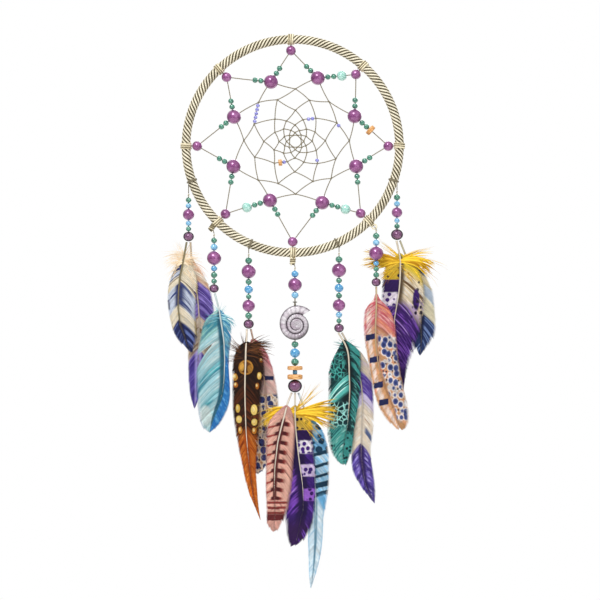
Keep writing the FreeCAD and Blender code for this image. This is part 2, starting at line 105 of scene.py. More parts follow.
# the feathers' barbs
BARB_SPACING = 0.85
BARB_REACH = 0.99
BARB_OVERLAP = 1.45
BARB_STEPS = 11
BARB_LEAN = 1.25
BARB_THICKNESS = 0.09
BARB_TILT = 0.13
BARB_GAP_LEAST = 0.22
BARB_GAP_MOST = 2.6
BARB_TAPER_START = 0.72
BARBS_OF_ONE_TONE = 4
VANE_CUP = 0.7
QUILL_REACH = 0.93
TUFT_DEPTH = 0.6
QUILL_TOP_RADIUS = 0.72
QUILL_TIP_RADIUS = 0.1


# ---------------------------------------------------------------- colours and materials


def colour(code):
    """The linear colour of a six-digit hex code."""
    channels = [int(code[start : start + 2], 16) / 255 for start in (0, 2, 4)]
    linear = [c / 12.92 if c <= 0.04045 else ((c + 0.055) / 1.055) ** 2.4 for c in channels]
    return (*linear, 1.0)


class Paint:
    """One material's nodes, with short ways to add and join them."""

    def __init__(self, name, roughness=0.5, **settings):
        """The settings are the shader's own, such as coat_weight."""
        self.material = bpy.data.materials.new(name)
        self.material.use_nodes = True
        self.tree = self.material.node_tree
        self.shader = self.tree.nodes["Principled BSDF"]
        self.set("Roughness", roughness)
        for setting, value in settings.items():
            self.set(setting.replace("_", " ").title().replace("Ior", "IOR"), value)

    def set(self, socket, value):
        self.feed(self.shader.inputs[socket], value)

    def feed(self, socket, value):
        if isinstance(value, bpy.types.NodeSocket):
            self.tree.links.new(value, socket)
        else:
            socket.default_value = value

    def node(self, kind, inputs=None, **settings):
        made = self.tree.nodes.new("ShaderNode" + kind)
        for setting, value in settings.items():
            setattr(made, setting, value)
        for socket, value in (inputs or {}).items():
            self.feed(made.inputs[socket], value)
        return made

    def maths(self, operation, first, second=0.0, third=0.0):
        inputs = {0: first, 1: second, 2: third}
        return self.node("Math", inputs, operation=operation).outputs[0]

    def mark(self, name):
        """A number stored on the mesh."""
        return self.node("Attribute", attribute_name=name).outputs["Fac"]

    def place(self):
        """The point on the object, in millimetres."""
        point = self.node("TexCoord").outputs["Object"]
        scale = self.node("VectorMath", {0: point, "Scale": 1 / MM}, operation="SCALE")
        return scale.outputs[0]

    def vector(self, x, y, z=0.0):
        return self.node("CombineXYZ", {0: x, 1: y, 2: z}).outputs[0]

    def noise(self, where, scale, detail=3.0, distortion=0.0):
        inputs = {"Vector": where, "Scale": scale, "Detail": detail, "Distortion": distortion}
        return self.node("TexNoise", inputs).outputs["Fac"]

    def blend(self, amount, first, second, mode="MIX"):
        inputs = {0: amount, 6: first, 7: second}
        return self.node("Mix", inputs, data_type="RGBA", blend_type=mode).outputs[2]

    def step(self, value, low, high):
        """0 below low, 1 above high, and smooth between."""
        inputs = {"Value": value, "From Min": low, "From Max": high}
        return self.node("MapRange", inputs, interpolation_type="SMOOTHSTEP").outputs[0]

    def ramp(self, value, *stops):
        """Colours along a value, as (place, hex code) stops."""
        made = self.node("ValToRGB", {"Fac": value})
        elements = made.color_ramp.elements
        for number, (where, code) in enumerate(stops):
            element = elements[number] if number < 2 else elements.new(where)
            element.position = where
            element.color = colour(code)
        return made.outputs["Color"]

    def bump(self, height, distance, strength=1.0):
        inputs = {"Height": height, "Distance": distance * MM, "Strength": strength}
        self.set("Normal", self.node("Bump", inputs).outputs[0])

    def done(self, base):
        self.set("Base Color", base)
        return self.material


def steel_paint():
    paint = Paint("brushed_steel", roughness=0.35, metallic=1.0)
    grain = paint.noise(paint.place(), 2.0)
    paint.bump(grain, 0.02)
    return paint.done(paint.ramp(grain, (0.3, "9c9c98"), (0.7, "c4c4c0")))


def cord_paint(name, light, middle, dark, ply_pitch, ply_count, groove_shade=(0.3, 0.9)):
    """Twisted fibre: the ply marks run round the cord, and each strand has painted shade where it meets
    others and a painted highlight on its crown.
    """
    paint = Paint(name, roughness=0.85)
    along = paint.mark("along")
    around = paint.mark("around")
    turns = paint.maths("ADD", paint.maths("MULTIPLY", along, 1 / ply_pitch), around)
    ply = paint.maths("SINE", paint.maths("MULTIPLY", turns, 2 * math.pi * ply_count))
    ply = paint.maths("MULTIPLY_ADD", ply, 0.5, 0.5)
    stretched = paint.vector(paint.maths("MULTIPLY", along, 0.7), paint.maths("MULTIPLY", around, 9.0))
    fibre = paint.noise(stretched, 1.6, detail=5.0, distortion=0.6)
    worn = paint.noise(paint.place(), 0.12, detail=4.0)
    # painted shade in the grooves where strands meet, and painted highlight on each strand's crown
    crown = paint.step(paint.mark("outer"), *groove_shade)
    shade = paint.maths("MULTIPLY_ADD", fibre, 0.5, paint.maths("MULTIPLY", crown, 0.62))
    shade = paint.maths("MULTIPLY_ADD", ply, 0.08, shade)
    shade = paint.maths("MULTIPLY_ADD", worn, 0.35, paint.maths("SUBTRACT", shade, 0.34))
    height = paint.maths("MULTIPLY_ADD", ply, 0.5, fibre)
    paint.bump(height, 0.12)
    return paint.done(paint.ramp(shade, (0.1, dark), (0.42, middle), (0.74, light)))


def thread_paint():
    paint = Paint("web_thread_twist", roughness=0.65, sheen_weight=0.15)
    along = paint.mark("along")
    around = paint.mark("around")
    turns = paint.maths("ADD", paint.maths("MULTIPLY", along, 0.8), around)
    ply = paint.maths("SINE", paint.maths("MULTIPLY", turns, 2 * math.pi))
    ply = paint.maths("MULTIPLY_ADD", ply, 0.5, 0.5)
    paint.bump(ply, 0.08)
    return paint.done(paint.ramp(ply, (0.0, "55503f"), (0.5, "7d7359"), (1.0, "9c9074")))


def pearl_paint(name, deep, middle, glow, coat=1.0):
    """A lustrous coated bead: a soft cloud of colour under a clear lacquer."""
    paint = Paint(name, roughness=0.3, metallic=0.35, coat_weight=coat, coat_roughness=0.05)
    where = paint.place()
    cloud = paint.noise(where, 0.25, detail=2.0)
    fleck = paint.noise(where, 3.5, detail=4.0)
    value = paint.maths("MULTIPLY_ADD", fleck, 0.3, paint.maths("MULTIPLY", cloud, 0.7))
    paint.bump(fleck, 0.015)
    return paint.done(paint.ramp(value, (0.3, deep), (0.5, middle), (0.75, glow)))


def glass_paint(name, deep, middle, glow):
    """Tinted pressed glass with a cloudy swirl inside."""
    paint = Paint(name, roughness=0.15, coat_weight=1.0, coat_roughness=0.03, transmission_weight=0.08)
    swirl = paint.noise(paint.place(), 0.7, detail=3.0, distortion=1.2)
    return paint.done(paint.ramp(swirl, (0.3, deep), (0.5, middle), (0.72, glow)))


def crackle_paint():
    """Aqua crackle glass: pale cells between fine white fractures."""
    coat = dict(coat_weight=1.0, coat_roughness=0.04)
    paint = Paint("aqua_crackle", roughness=0.15, transmission_weight=0.1, **coat)
    where = paint.place()
    inputs = {"Vector": where, "Scale": 0.8}
    cells = paint.node("TexVoronoi", inputs, feature="DISTANCE_TO_EDGE").outputs["Distance"]
    tint = paint.ramp(paint.noise(where, 0.5), (0.35, "7cc2b2"), (0.65, "a2dccf"))
    fracture = paint.step(cells, 0.1, 0.02)
    return paint.done(paint.blend(fracture, tint, colour("d4f2ea")))


def wood_paint():
    """Turned light wood: rings across a slightly leaning grain, with pores."""
    paint = Paint("turned_wood_grain", roughness=0.5, coat_weight=0.15, coat_roughness=0.3)
    where = paint.place()
    lean = paint.node("Mapping", {"Vector": where, "Rotation": (0.2, 0.35, 0.1), "Scale": (0.25, 0.25, 1.4)})
    grain = paint.noise(lean.outputs[0], 1.1, detail=5.0, distortion=1.0)
    pores = paint.noise(where, 6.0, detail=2.0)
    value = paint.maths("MULTIPLY_ADD", pores, 0.2, grain)
    paint.bump(value, 0.05)
    return paint.done(paint.ramp(value, (0.35, "8c4f1e"), (0.52, "c98a44"), (0.75, "f0c088")))


def stone_paint():
    """Polished fossil shell with mauve clouds: painted shade in its seams and along its lower right, and
    painted highlight on the silver crowns of its whorls and ribs.
    """
    paint = Paint("fossil_stone", roughness=0.32, coat_weight=0.5, coat_roughness=0.15)
    where = paint.place()
    grit = paint.noise(where, 4.0, detail=4.0)
    # the shell's brightness mark paints shade in the seams and highlight on the crowns, with grit over it
    value = paint.maths("MULTIPLY_ADD", grit, 0.24, paint.maths("SUBTRACT", paint.mark("crest"), 0.12))
    base = paint.ramp(value, (0.04, "2a2528"), (0.32, "6f686e"), (0.58, "a8a1a8"), (0.95, "dcd7dc"))
    tint = paint.ramp(paint.noise(where, 0.3, detail=3.0), (0.45, "ffffff"), (0.65, "dccfd9"))
    paint.bump(grit, 0.05)
    return paint.done(paint.blend(1.0, base, tint, "MULTIPLY"))


def quill_paint(name, light, dark):
    """Horn of a feather's shaft, with a painted highlight down its front-facing crown, and streaked along its
    length.
    """
    paint = Paint(name, roughness=0.38, coat_weight=0.25, coat_roughness=0.25)
    along = paint.maths("MULTIPLY", paint.mark("along"), 0.08)
    streak = paint.noise(paint.vector(paint.mark("around"), along), 4.0)
    # the outer mark paints a highlight on the shaft's front and shade on its sides and back
    value = paint.maths("MULTIPLY_ADD", streak, 0.5, paint.maths("MULTIPLY", paint.mark("outer"), 0.45))
    paint.bump(streak, 0.05)
    return paint.done(paint.ramp(value, (0.35, dark), (0.95, light)))


def down_paint(name, light, dark):
    """Loose barbs at the top of a feather, each with its own shade."""
    paint = Paint(name, roughness=0.65, specular_ior_level=0.2)
    value = paint.maths("MULTIPLY_ADD", paint.noise(paint.place(), 0.5), 0.3, paint.mark("streak"))
    return paint.done(paint.ramp(value, (0.25, dark), (0.95, light)))


# ---------------------------------------------------------------- meshes


class Form:
    """Vertices, faces and marks, gathered into one mesh. Points are in millimetres."""

    MARKS = ("along", "around", "outer", "crest", "root", "across", "drop", "side", "streak")

    def __init__(self):
        self.points = []
        self.faces = []
        self.slots = []
        self.marks = {name: [] for name in self.MARKS}

    def add(self, points, faces, slot=0, **marks):
        first = len(self.points)
        self.points += points
        self.faces += [[first + corner for corner in face] for face in faces]
        self.slots += [slot] * len(faces)
        for name in self.MARKS:
            value = marks.get(name, 0.0)
            self.marks[name] += value if isinstance(value, list) else [value] * len(points)

    def piece(self, name, materials, *nodes, slot=None):
        """The finished object, which stands for the CAD nodes and rides on their body."""
        mesh = bpy.data.meshes.new(name)
        mesh.from_pydata([Vector(point) * MM for point in self.points], [], self.faces)
        for material in materials:
            mesh.materials.append(material)
        mesh.polygons.foreach_set("material_index", self.slots)
        mesh.polygons.foreach_set("use_smooth", [True] * len(self.faces))
        for mark, values in self.marks.items():
            if any(values):
                mesh.attributes.new(mark, "FLOAT", "POINT").data.foreach_set("value", values)
        mesh.update()
        made = bpy.data.objects.new(name, mesh)
        bpy.context.scene.collection.objects.link(made)
        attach(made, BODY_OF_NODE[nodes[0]])
        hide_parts(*nodes)
        return made


def ring_faces(rings, sides, closed):
    """Faces between rings of points, with caps unless the tube closes on itself."""
    faces = []
    for ring in range(rings if closed else rings - 1):
        following = (ring + 1) % rings
        for side in range(sides):
            turn = (side + 1) % sides
            faces.append(
                [ring * sides + side, ring * sides + turn, following * sides + turn, following * sides + side]
            )
    if not closed:
        faces.append(list(range(sides))[::-1])
        faces.append([(rings - 1) * sides + side for side in range(sides)])
    return faces


def directions(path, closed):
    """The unit direction of a path at each of its points."""
    count = len(path)
    found = []
    for number in range(count):
        before = path[(number - 1) % count if closed else max(number - 1, 0)]
        after = path[(number + 1) % count if closed else min(number + 1, count - 1)]
        found.append((after - before).normalized())
    return found


def add_tube(form, path, radius, sides=10, closed=False, slot=0, hub=None, flat=1.0, streak=0.0):
    """A round tube along a path. Its radius may vary, and its crown faces away from a hub it winds about."""
    count = len(path)
    radii = radius if isinstance(radius, list) else [radius] * count
    along = directions(path, closed)
    points, lengths, arounds, outers = [], [], [], []
    travelled = 0.0
    side = Vector((0, -1, 0)) if abs(along[0].y) < 0.9 else Vector((1, 0, 0))
    for number, centre in enumerate(path):
        if hub:
            away = (centre - hub[number]).normalized()
            side = away
        side = (side - along[number] * side.dot(along[number])).normalized()
        other = along[number].cross(side)
        if number:
            travelled += (centre - path[number - 1]).length
        for step in range(sides):
            angle = 2 * math.pi * step / sides
            offset = side * math.cos(angle) * flat + other * math.sin(angle)
            points.append(centre + offset * radii[number])
            lengths.append(travelled)
            arounds.append(abs(2 * step / sides - 1))
            outers.append(0.5 + 0.5 * (offset.dot(away) if hub else math.cos(angle)))
    faces = ring_faces(count, sides, closed)
    form.add(points, faces, slot, along=lengths, around=arounds, outer=outers, streak=streak)


def add_lathe(form, centre, axis, profile, segments=40, slot=0, **marks):
    """A turned ring: the closed profile of (radius, height) pairs goes round the axis."""
    axis = axis.normalized()
    side = axis.orthogonal().normalized()
    other = axis.cross(side)
    points = []
    for segment in range(segments):
        angle = 2 * math.pi * segment / segments
        outward = side * math.cos(angle) + other * math.sin(angle)
        points += [centre + outward * radius + axis * height for radius, height in profile]
    form.add(points, ring_faces(segments, len(profile), True), slot, **marks)


def bead_profile(radius, half_height, hole, steps=18):
    """A round or oval bead with a drilled, softly rimmed hole."""
    start = math.asin(hole / radius)
    profile = []
    for step in range(steps + 1):
        angle = start + (math.pi - 2 * start) * step / steps
        profile.append((radius * math.sin(angle), half_height * math.cos(angle)))
    depth = half_height * math.cos(start)
    return profile + [(hole * 0.86, -depth * 0.92), (hole * 0.86, depth * 0.92)]


def disc_profile(radius, half_height, hole, ease, belly=0.0):
    """A turned disc with rounded rims, and an edge made fuller by belly."""
    profile = [(hole, half_height)]
    for step in range(7):
        angle = math.pi / 2 * (1 - step / 6)
        profile.append((radius - ease + ease * math.cos(angle), half_height - ease + ease * math.sin(angle)))
    profile.append((radius + belly, 0.0))
    mirror = [(across, -height) for across, height in profile[:-1]][::-1]
    return profile + mirror


def islands(node):
    """The separate solids of a CAD node, as lists of their points in millimetres."""
    mesh = NODES[node].data
    leader = list(range(len(mesh.vertices)))

    def find(item):
        while leader[item] != item:
            leader[item] = leader[leader[item]]
            item = leader[item]
        return item

    same_place = {}
    for vertex in mesh.vertices:
        twin = same_place.setdefault(tuple(round(value, 7) for value in vertex.co), vertex.index)
        leader[vertex.index] = twin
    for edge in mesh.edges:
        first, second = (find(corner) for corner in edge.vertices)
        leader[first] = second
    groups = {}
    for vertex in mesh.vertices:
        groups.setdefault(find(vertex.index), []).append(vertex.co / MM)
    return list(groups.values())


class Box:
    """The middle and size of some points."""

    def __init__(self, points):
        low = Vector([min(point[axis] for point in points) for axis in range(3)])
        high = Vector([max(point[axis] for point in points) for axis in range(3)])
        self.low = low
        self.high = high
        self.middle = (low + high) / 2
        self.size = high - low


def node_box(node):
    low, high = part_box(node)
    return Box([Vector(low) / MM, Vector(high) / MM])


# ---------------------------------------------------------------- the frame's own places

RING_RADIUS = -node_box("hoop_wrap").middle.z
HOOP_CENTRE = Vector((0, 0, -RING_RADIUS))


def polar(centre, radius, degrees):
    angle = math.radians(degrees)
    return centre + Vector((radius * math.cos(angle), 0, radius * math.sin(angle)))


def on_ring(degrees, radius, phase):
    """A point round the ring's tube: phase 0 is outside and 90 is in front."""
    turn = math.radians(phase)
    outward = polar(Vector((0, 0, 0)), 1, degrees)
    centre = HOOP_CENTRE + outward * RING_RADIUS
    return centre + outward * radius * math.cos(turn) + Vector((0, -radius * math.sin(turn), 0))


def ring_axis(degrees):
    return HOOP_CENTRE + polar(Vector((0, 0, 0)), RING_RADIUS, degrees)


# ---------------------------------------------------------------- camera and cords


def add_camera():
    """A long lens level with the middle of the whole object."""
    data = bpy.data.cameras.new("camera")
    data.sensor_width = 36
    data.lens = 171.4
    data.dof.use_dof = False
    camera = bpy.data.objects.new("camera", data)
    camera.location = (0.0051, -2.0, -0.1825)
    camera.rotation_euler = (math.pi / 2, 0, 0)
    bpy.context.scene.collection.objects.link(camera)
    bpy.context.scene.camera = camera


def add_strand_cord(name, material):
    """The cord through a strand's beads, from its knot down into the end bead."""
    node = name + "_strand_cord"
    box = node_box(node)
    top = Vector((box.middle.x, box.middle.y, box.high.z))
    bottom = Vector((box.middle.x, box.middle.y, box.low.z))
    data = bpy.data.curves.new(node + "_thread", "CURVE")
    data.dimensions = "3D"
    spline = data.splines.new("NURBS")
    stops = 5
    spline.points.add(stops - 1)
    for number, point in enumerate(spline.points):
        point.co = (*(top.lerp(bottom, number / (stops - 1)) * MM), 1)
    spline.order_u = 3
    spline.use_endpoint_u = True
    data.bevel_depth = CORD_DIAMETER / 2 * MM
    data.bevel_resolution = 3
    data.use_fill_caps = True
    data.materials.append(material)
    cord = bpy.data.objects.new(node + "_thread", data)
    bpy.context.scene.collection.objects.link(cord)
    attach(cord, BODY_OF_NODE[node])
    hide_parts(node)


# ---------------------------------------------------------------- ring, wrap and ties


def paint_ring(material):
    """The steel ring stays as the CAD has it, and is only painted."""
    materials = NODES["hoop_ring"].data.materials
    materials.clear()
    materials.append(material)


def add_wrap(material):
    """Six cords laid side by side in one long spiral round the steel ring."""
    form = Form()
    steps = ROPE_TURNS * 18
    angles = [360 * step / steps for step in range(steps)]
    hub = [ring_axis(angle) for angle in angles]
    core = WRAP_RADIUS - ROPE_STRAND_RADIUS
    for strand in range(ROPE_STRANDS):
        start = 360 * strand / ROPE_STRANDS
        path = [on_ring(angle, core, ROPE_TURNS * angle + start) for angle in angles]
        add_tube(form, path, ROPE_STRAND_RADIUS, 10, True, hub=hub)
    form.piece("hoop_wrap_rope", [material], "hoop_wrap", slot="wrap_cord")


def winding(degrees, turns, cord, radius, middle_phase=200.0, steps=20):
    """A cord wound round the ring's tube, both ends tucked in under it."""
    path = []
    total = turns * steps
    pitch = math.degrees(2 * cord / RING_RADIUS)
    for step in range(-3, total + 4):
        share = min(max(step / total, 0), 1)
        tuck = max(-step, step - total, 0) * cord * 0.35
        angle = degrees + (share - 0.5) * pitch * turns
        path.append(on_ring(angle, radius - tuck, middle_phase + 360 * step / steps))
    return path


def add_lashings(material):
    """Three turns of cord tie each point of the web to the ring."""
    form = Form()
    for degrees in LASHING_ANGLES:
        path = winding(degrees, LASHING_TURNS, LASHING_CORD_RADIUS, LASHING_RADIUS - LASHING_CORD_RADIUS)
        add_tube(form, path, LASHING_CORD_RADIUS, 12)
    form.piece("web_lashing_cords", [material], "web_lashings", slot="wrap_cord")


def coil(centre, axis, radius, cord, turns, steps=20):
    """A short coil of touching turns, its ends tucked inside."""
    axis = axis.normalized()
    side = axis.orthogonal().normalized()
    other = axis.cross(side)
    total = int(turns * steps)
    path = []
    for step in range(-2, total + 3):
        share = min(max(step / total, 0), 1)
        tuck = max(-step, step - total, 0) * cord * 0.4
        angle = 2 * math.pi * step / steps
        outward = side * math.cos(angle) + other * math.sin(angle)
        path.append(centre + outward * (radius - tuck) + axis * (share - 0.5) * 2 * cord * turns)
    return path


def knot_place(name):
    return node_box(name + "_strand_knot").middle


def add_ties(cord_material, thread_material):
    """The wound knots and the thin threads that the seven strands hang from."""
    form = Form()
    for points in islands("strand_ties"):
        box = Box(points)
        name = min(STRANDS, key=lambda strand: abs(knot_place(strand).x - box.middle.x))
        knot = knot_place(name)
        end = Vector((knot.x, knot.y, box.low.z))
        if name in DROP_KNOTS:
            outward = polar(Vector((0, 0, 0)), 1, DROP_KNOTS[name])
            middle = HOOP_CENTRE + outward * (RING_RADIUS + LASHING_RADIUS + 1.6)
            middle.y = knot.y * 0.6
            add_drop_knot(form, name, middle, outward)
            bow = middle.lerp(end, 0.5) + Vector((0.15, 0, 0))
            add_tube(form, [middle, bow, end], TIE_RADIUS, 8, slot=1)
        else:
            out = RING_RADIUS + math.sqrt((TIE_BORE_RADIUS + TIE_RADIUS) ** 2 - end.y**2)
            degrees = -math.degrees(math.acos(end.x / out))
            path = winding(degrees, 2, TIE_RADIUS, TIE_BORE_RADIUS + TIE_RADIUS, 90.0)
            add_tube(form, path, TIE_RADIUS, 8, slot=1)
            hang = polar(Vector((0, end.y, HOOP_CENTRE.z)), out, degrees)
            add_tube(form, [hang, hang.lerp(end, 0.5), end], TIE_RADIUS, 8, slot=1)
    form.piece("strand_tie_cords", [cord_material, thread_material], "strand_ties", slot="wrap_cord")


def add_drop_knot(form, name, middle, outward):
    """The knot under a lashing: a leaning coil, a lark's head with a tail, or a small loop."""
    if name == "left":
        across = Vector((0.55, 0.1, 0.85))
        add_tube(form, coil(middle, across, 1.45, 0.62, 3.5), 0.62, 10)
        add_tube(form, coil(middle, outward, 1.1, 0.5, 2), 0.5, 10)
    elif name == "centre":
        for shift in (-1, 1):
            path = [middle + Vector((shift * 1.5 * math.cos(turn), -1.2 * math.sin(turn) * shift, height))
                    for turn, height in ((-1.2, 2.6), (-0.4, 1.2), (0.4, -0.6), (1.2, -2.2))]
            add_tube(form, path, 0.6, 10)
        add_tube(form, coil(middle + Vector((0, 0, -0.6)), Vector((0.1, 0, 1)), 1.5, 0.62, 3), 0.62, 10)
        bends = ((-0.6, -1.2, -1.8), (-1.0, -1.5, -2.8), (-1.1, -1.5, -3.7))
        tail = [middle + Vector(bend) for bend in bends]
        add_tube(form, tail, [0.5, 0.42, 0.25], 8)
    else:
        steps = 28
        loop = [middle + Vector((1.6 * math.cos(turn), 0.25 * math.sin(2 * turn), 1.6 * math.sin(turn)))
                for turn in [2 * math.pi * step / steps for step in range(steps)]]
        add_tube(form, loop, 0.48, 10, True)
        add_tube(form, coil(middle - outward * 1.6, outward, 0.62, 0.4, 2), 0.4, 8)


# ---------------------------------------------------------------- the web


def spoke_angle(index, between):
    """The angle of a lashing, or of the place halfway to the next one."""
    first = LASHING_ANGLES[index % 8]
    if not between:
        return first
    second = LASHING_ANGLES[(index + 1) % 8]
    if second > first:
        second -= 360
    return (first + second) / 2


def web_point(level, index):
    """A knot of the web. Level 0 is at the ring, and odd levels sit between the lashings."""
    index %= 8
    if level == 0:
        return polar(HOOP_CENTRE, ANCHOR_RADIUS, spoke_angle(index, False))
    radius = ROUND_RADII[level - 1] if level <= len(ROUND_RADII) else EYE_RADIUS
    wander = KNOT_WANDER * math.sin(2.3 * index + 1.7 * level)
    turn = KNOT_TURN * math.sin(1.9 * index + 2.6 * level)
    degrees = spoke_angle(index, level % 2 == 1) + turn
    return polar(HOOP_CENTRE + WEB_OFFSET, radius * (1 + wander), degrees)


def web_runs(levels):
    """The thread runs into the knots of some rounds, as pairs of points."""
    runs = []
    for level in levels:
        for index in range(8):
            other = (index + 1) % 8 if level % 2 == 1 else (index - 1) % 8
            for outer in (index, other):
                runs.append((web_point(level, index), web_point(level - 1, outer)))
    return runs


LAST_LEVEL = len(ROUND_RADII) + 1
FIRST_RUNS = web_runs([1])
INNER_RUNS = web_runs(range(2, LAST_LEVEL + 1))
EYE_RUNS = [(web_point(LAST_LEVEL, index), web_point(LAST_LEVEL, index + 1)) for index in range(8)]


def add_run(form, start, end, bow, generator):
    """One thread between two knots, bowed a little out of the straight."""
    along = end - start
    aside = Vector((-along.z, 0, along.x)).normalized() * bow
    forward = Vector((0, generator.uniform(-0.12, 0.12), 0))
    path = []
    for step in range(9):
        share = step / 8
        path.append(start + along * share + (aside + forward) * math.sin(math.pi * share))
    add_tube(form, path, THREAD_RADIUS, 8)


def add_web(material):
    """Round twisted thread in two pieces: the outer star, and the inner rounds with their hitches."""
    generator = random.Random(11)
    star = Form()
    for index in range(8):
        degrees = spoke_angle(index, False)
        anchor = polar(HOOP_CENTRE, RING_RADIUS - WRAP_RADIUS, degrees)
        add_run(star, anchor, web_point(0, index), 0.0, generator)
        hitch = coil(web_point(1, index), Vector((0, 1, 0)), 0.45, THREAD_RADIUS, 1.5)
        add_tube(star, hitch, THREAD_RADIUS, 6)
    for start, end in FIRST_RUNS:
        add_run(star, start, end, generator.uniform(-THREAD_BOW, THREAD_BOW), generator)
    star.piece("web_star_thread", [material], "web_first_round", slot="web_thread")
    rounds = Form()
    for start, end in INNER_RUNS + EYE_RUNS:
        bow = min(THREAD_BOW * 2, (end - start).length * 0.03)
        add_run(rounds, start, end, bow * generator.choice((-1, 1)), generator)
    for level in range(2, LAST_LEVEL + 1):
        for index in range(8):
            knot = web_point(level, index)
            inward = (HOOP_CENTRE + WEB_OFFSET - knot).normalized()
            lean = Vector((inward.z, generator.uniform(-0.3, 0.3), -inward.x))
            add_tube(rounds, coil(knot, lean, 0.42, 0.27, 2), 0.27, 6)
    rounds.piece("web_round_thread", [material], "web_inner_rounds", slot="web_thread")


def thread_direction(point):
    """The direction of the web's thread nearest to a point."""

    def distance(run):
        start, end = run
        along = end - start
        share = min(max((point - start).dot(along) / along.length_squared, 0), 1)
        return (start + along * share - point).length

    start, end = min(FIRST_RUNS + INNER_RUNS, key=distance)
    return end - start


def add_web_pearl(form, centre, radius, ends):
    """A pearl dimpled where each of its threads goes in."""
    segments, steps = 56, 36
    points = []
    ways = [(end - centre).normalized() for end in ends]
    for step in range(1, steps):
        tilt = math.pi * step / steps
        for segment in range(segments):
            turn = 2 * math.pi * segment / segments
            rim = Vector((math.cos(turn), 0, math.sin(turn)))
            normal = rim * math.sin(tilt) - Vector((0, math.cos(tilt), 0))
            near = max(normal.dot(way) for way in ways)
            gap = math.acos(min(near, 1)) * radius
            dimple = DIMPLE_DEPTH * max(0.0, 1 - gap / DIMPLE_REACH) ** 1.5
            points.append(centre + normal * (radius - dimple))
    faces = [face for face in ring_faces(steps - 1, segments, False) if len(face) == 4]
    front, back = len(points), len(points) + 1
    points += [centre + Vector((0, -radius, 0)), centre + Vector((0, radius, 0))]
    last = (steps - 2) * segments
    for segment in range(segments):
        turn = (segment + 1) % segments
        faces.append([front, turn, segment])
        faces.append([back, last + segment, last + turn])
    form.add(points, faces)


def threads_at(knot):
    """The far ends of the threads that meet at a knot of the star."""
    ends = []
    for start, end in FIRST_RUNS + web_runs([2]):
        if (start - knot).length < SAME_PLACE:
            ends.append(end)
        elif (end - knot).length < SAME_PLACE:
            ends.append(start)
    return ends


def add_web_pearls(material):
    form = Form()
    knots = [web_point(level, index) for index in range(8) for level in (0, 1)]
    for points in islands("web_pearls"):
        box = Box(points)
        knot = min(knots, key=lambda point: (point - box.middle).length)
        add_web_pearl(form, knot, max(box.size) / 2, threads_at(knot))
    form.piece("web_pearl_beads", [material], "web_pearls", slot="plum_pearl")


def seed_profile(radius, steps=14):
    """A small glass bead, a little shorter than it is wide."""
    return bead_profile(radius, radius * 0.97, BEAD_HOLE_RADIUS, steps)


def add_web_seeds(material):
    form = Form()
    for points in islands("web_green_beads"):
        box = Box(points)
        add_lathe(form, box.middle, thread_direction(box.middle), seed_profile(max(box.size) / 2))
    form.piece("web_green_seed_beads", [material], "web_green_beads", slot="green_glass")


def add_web_accents(aqua, lilac):
    """The three larger aqua beads and the rows of small lilac ones."""
    form = Form()
    for points in islands("web_glass_beads"):
        box = Box(points)
        radius = max(box.size) / 2
        slot = 0 if radius > 2 else 1
        add_lathe(form, box.middle, thread_direction(box.middle), seed_profile(radius, 18), slot=slot)
    form.piece("web_glass_accents", [aqua, lilac], "web_glass_beads", slot="pale_glass")


def add_web_discs(material):
    """The two turned wood beads, a wide one and a small one."""
    form = Form()
    for points in islands("web_wood_beads"):
        box = Box(points)
        radius, half = (3.6, 1.6) if box.size.length > 8 else (2.3, 1.3)
        profile = disc_profile(radius, half, BEAD_HOLE_RADIUS, half * 0.5)
        add_lathe(form, box.middle, thread_direction(box.middle), profile, 48)
    form.piece("web_wood_discs", [material], "web_wood_beads", slot="turned_wood")


# ---------------------------------------------------------------- strands


UP = Vector((0, 0, 1))

# kinds of each strand's small beads from the top down: g green, b blue
SEED_ORDER = {
    "far_left": "gbbg",
    "left": "gbbgg",
    "inner_left": "ggbgg",
    "centre": "bbgbgb",
    "inner_right": "ggbgbg",
    "right": "gbbgg",
    "far_right": "gbbg",
}


def add_strand_pearls(name, material):
    form = Form()
    for points in islands(name + "_strand_pearls"):
        box = Box(points)
        radius = max(box.size) / 2
        add_lathe(form, box.middle, UP, bead_profile(radius, radius * 0.99, BEAD_HOLE_RADIUS, 26), 56)
    form.piece(name + "_plum_pearls", [material], name + "_strand_pearls", slot="plum_pearl")


def seed_slot(name, number):
    """0 for a green bead, 1 for a blue one and 2 for a pale blue one."""
    if SEED_ORDER[name][number] == "g":
        return 0
    return 2 if name in PALE_BLUE_STRANDS or number % 3 == 1 else 1


def add_strand_seeds(name, materials):
    """Small glass beads; the flattest are discs."""
    form = Form()
    boxes = [Box(points) for points in islands(name + "_strand_seed_beads")]
    boxes.sort(key=lambda box: -box.middle.z)
    for number, box in enumerate(boxes):
        if box.size.x < 3.5 and box.size.z < 3.2:
            profile = disc_profile(box.size.x / 2, box.size.z / 2, BEAD_HOLE_RADIUS, 0.6)
        else:
            profile = seed_profile(max(box.size) / 2)
        add_lathe(form, box.middle, UP, profile, slot=seed_slot(name, number))
    form.piece(name + "_seed_beads", materials, name + "_strand_seed_beads", slot="green_glass")


def add_end_bead(name, pearl, bezel):
    """An oval cabochon held in a dark flattened ring that faces the front."""
    form = Form()
    box = node_box(name + "_strand_end_bead")
    wide, high = box.size.x / 2, box.size.z / 2
    add_lathe(form, box.middle, UP, bead_profile(wide * 0.84, high * 0.84, BEAD_HOLE_RADIUS, 26), 56)
    rim = []
    steps = 56
    for step in range(steps):
        turn = 2 * math.pi * step / steps
        rim.append(box.middle + Vector((wide * 0.86 * math.cos(turn), 0, high * 0.86 * math.sin(turn))))
    add_tube(form, rim, 0.13 * wide, 12, True, slot=1, flat=1.5)
    form.piece(name + "_end_cabochon", [pearl, bezel], name + "_strand_end_bead", slot="dark_pearl")


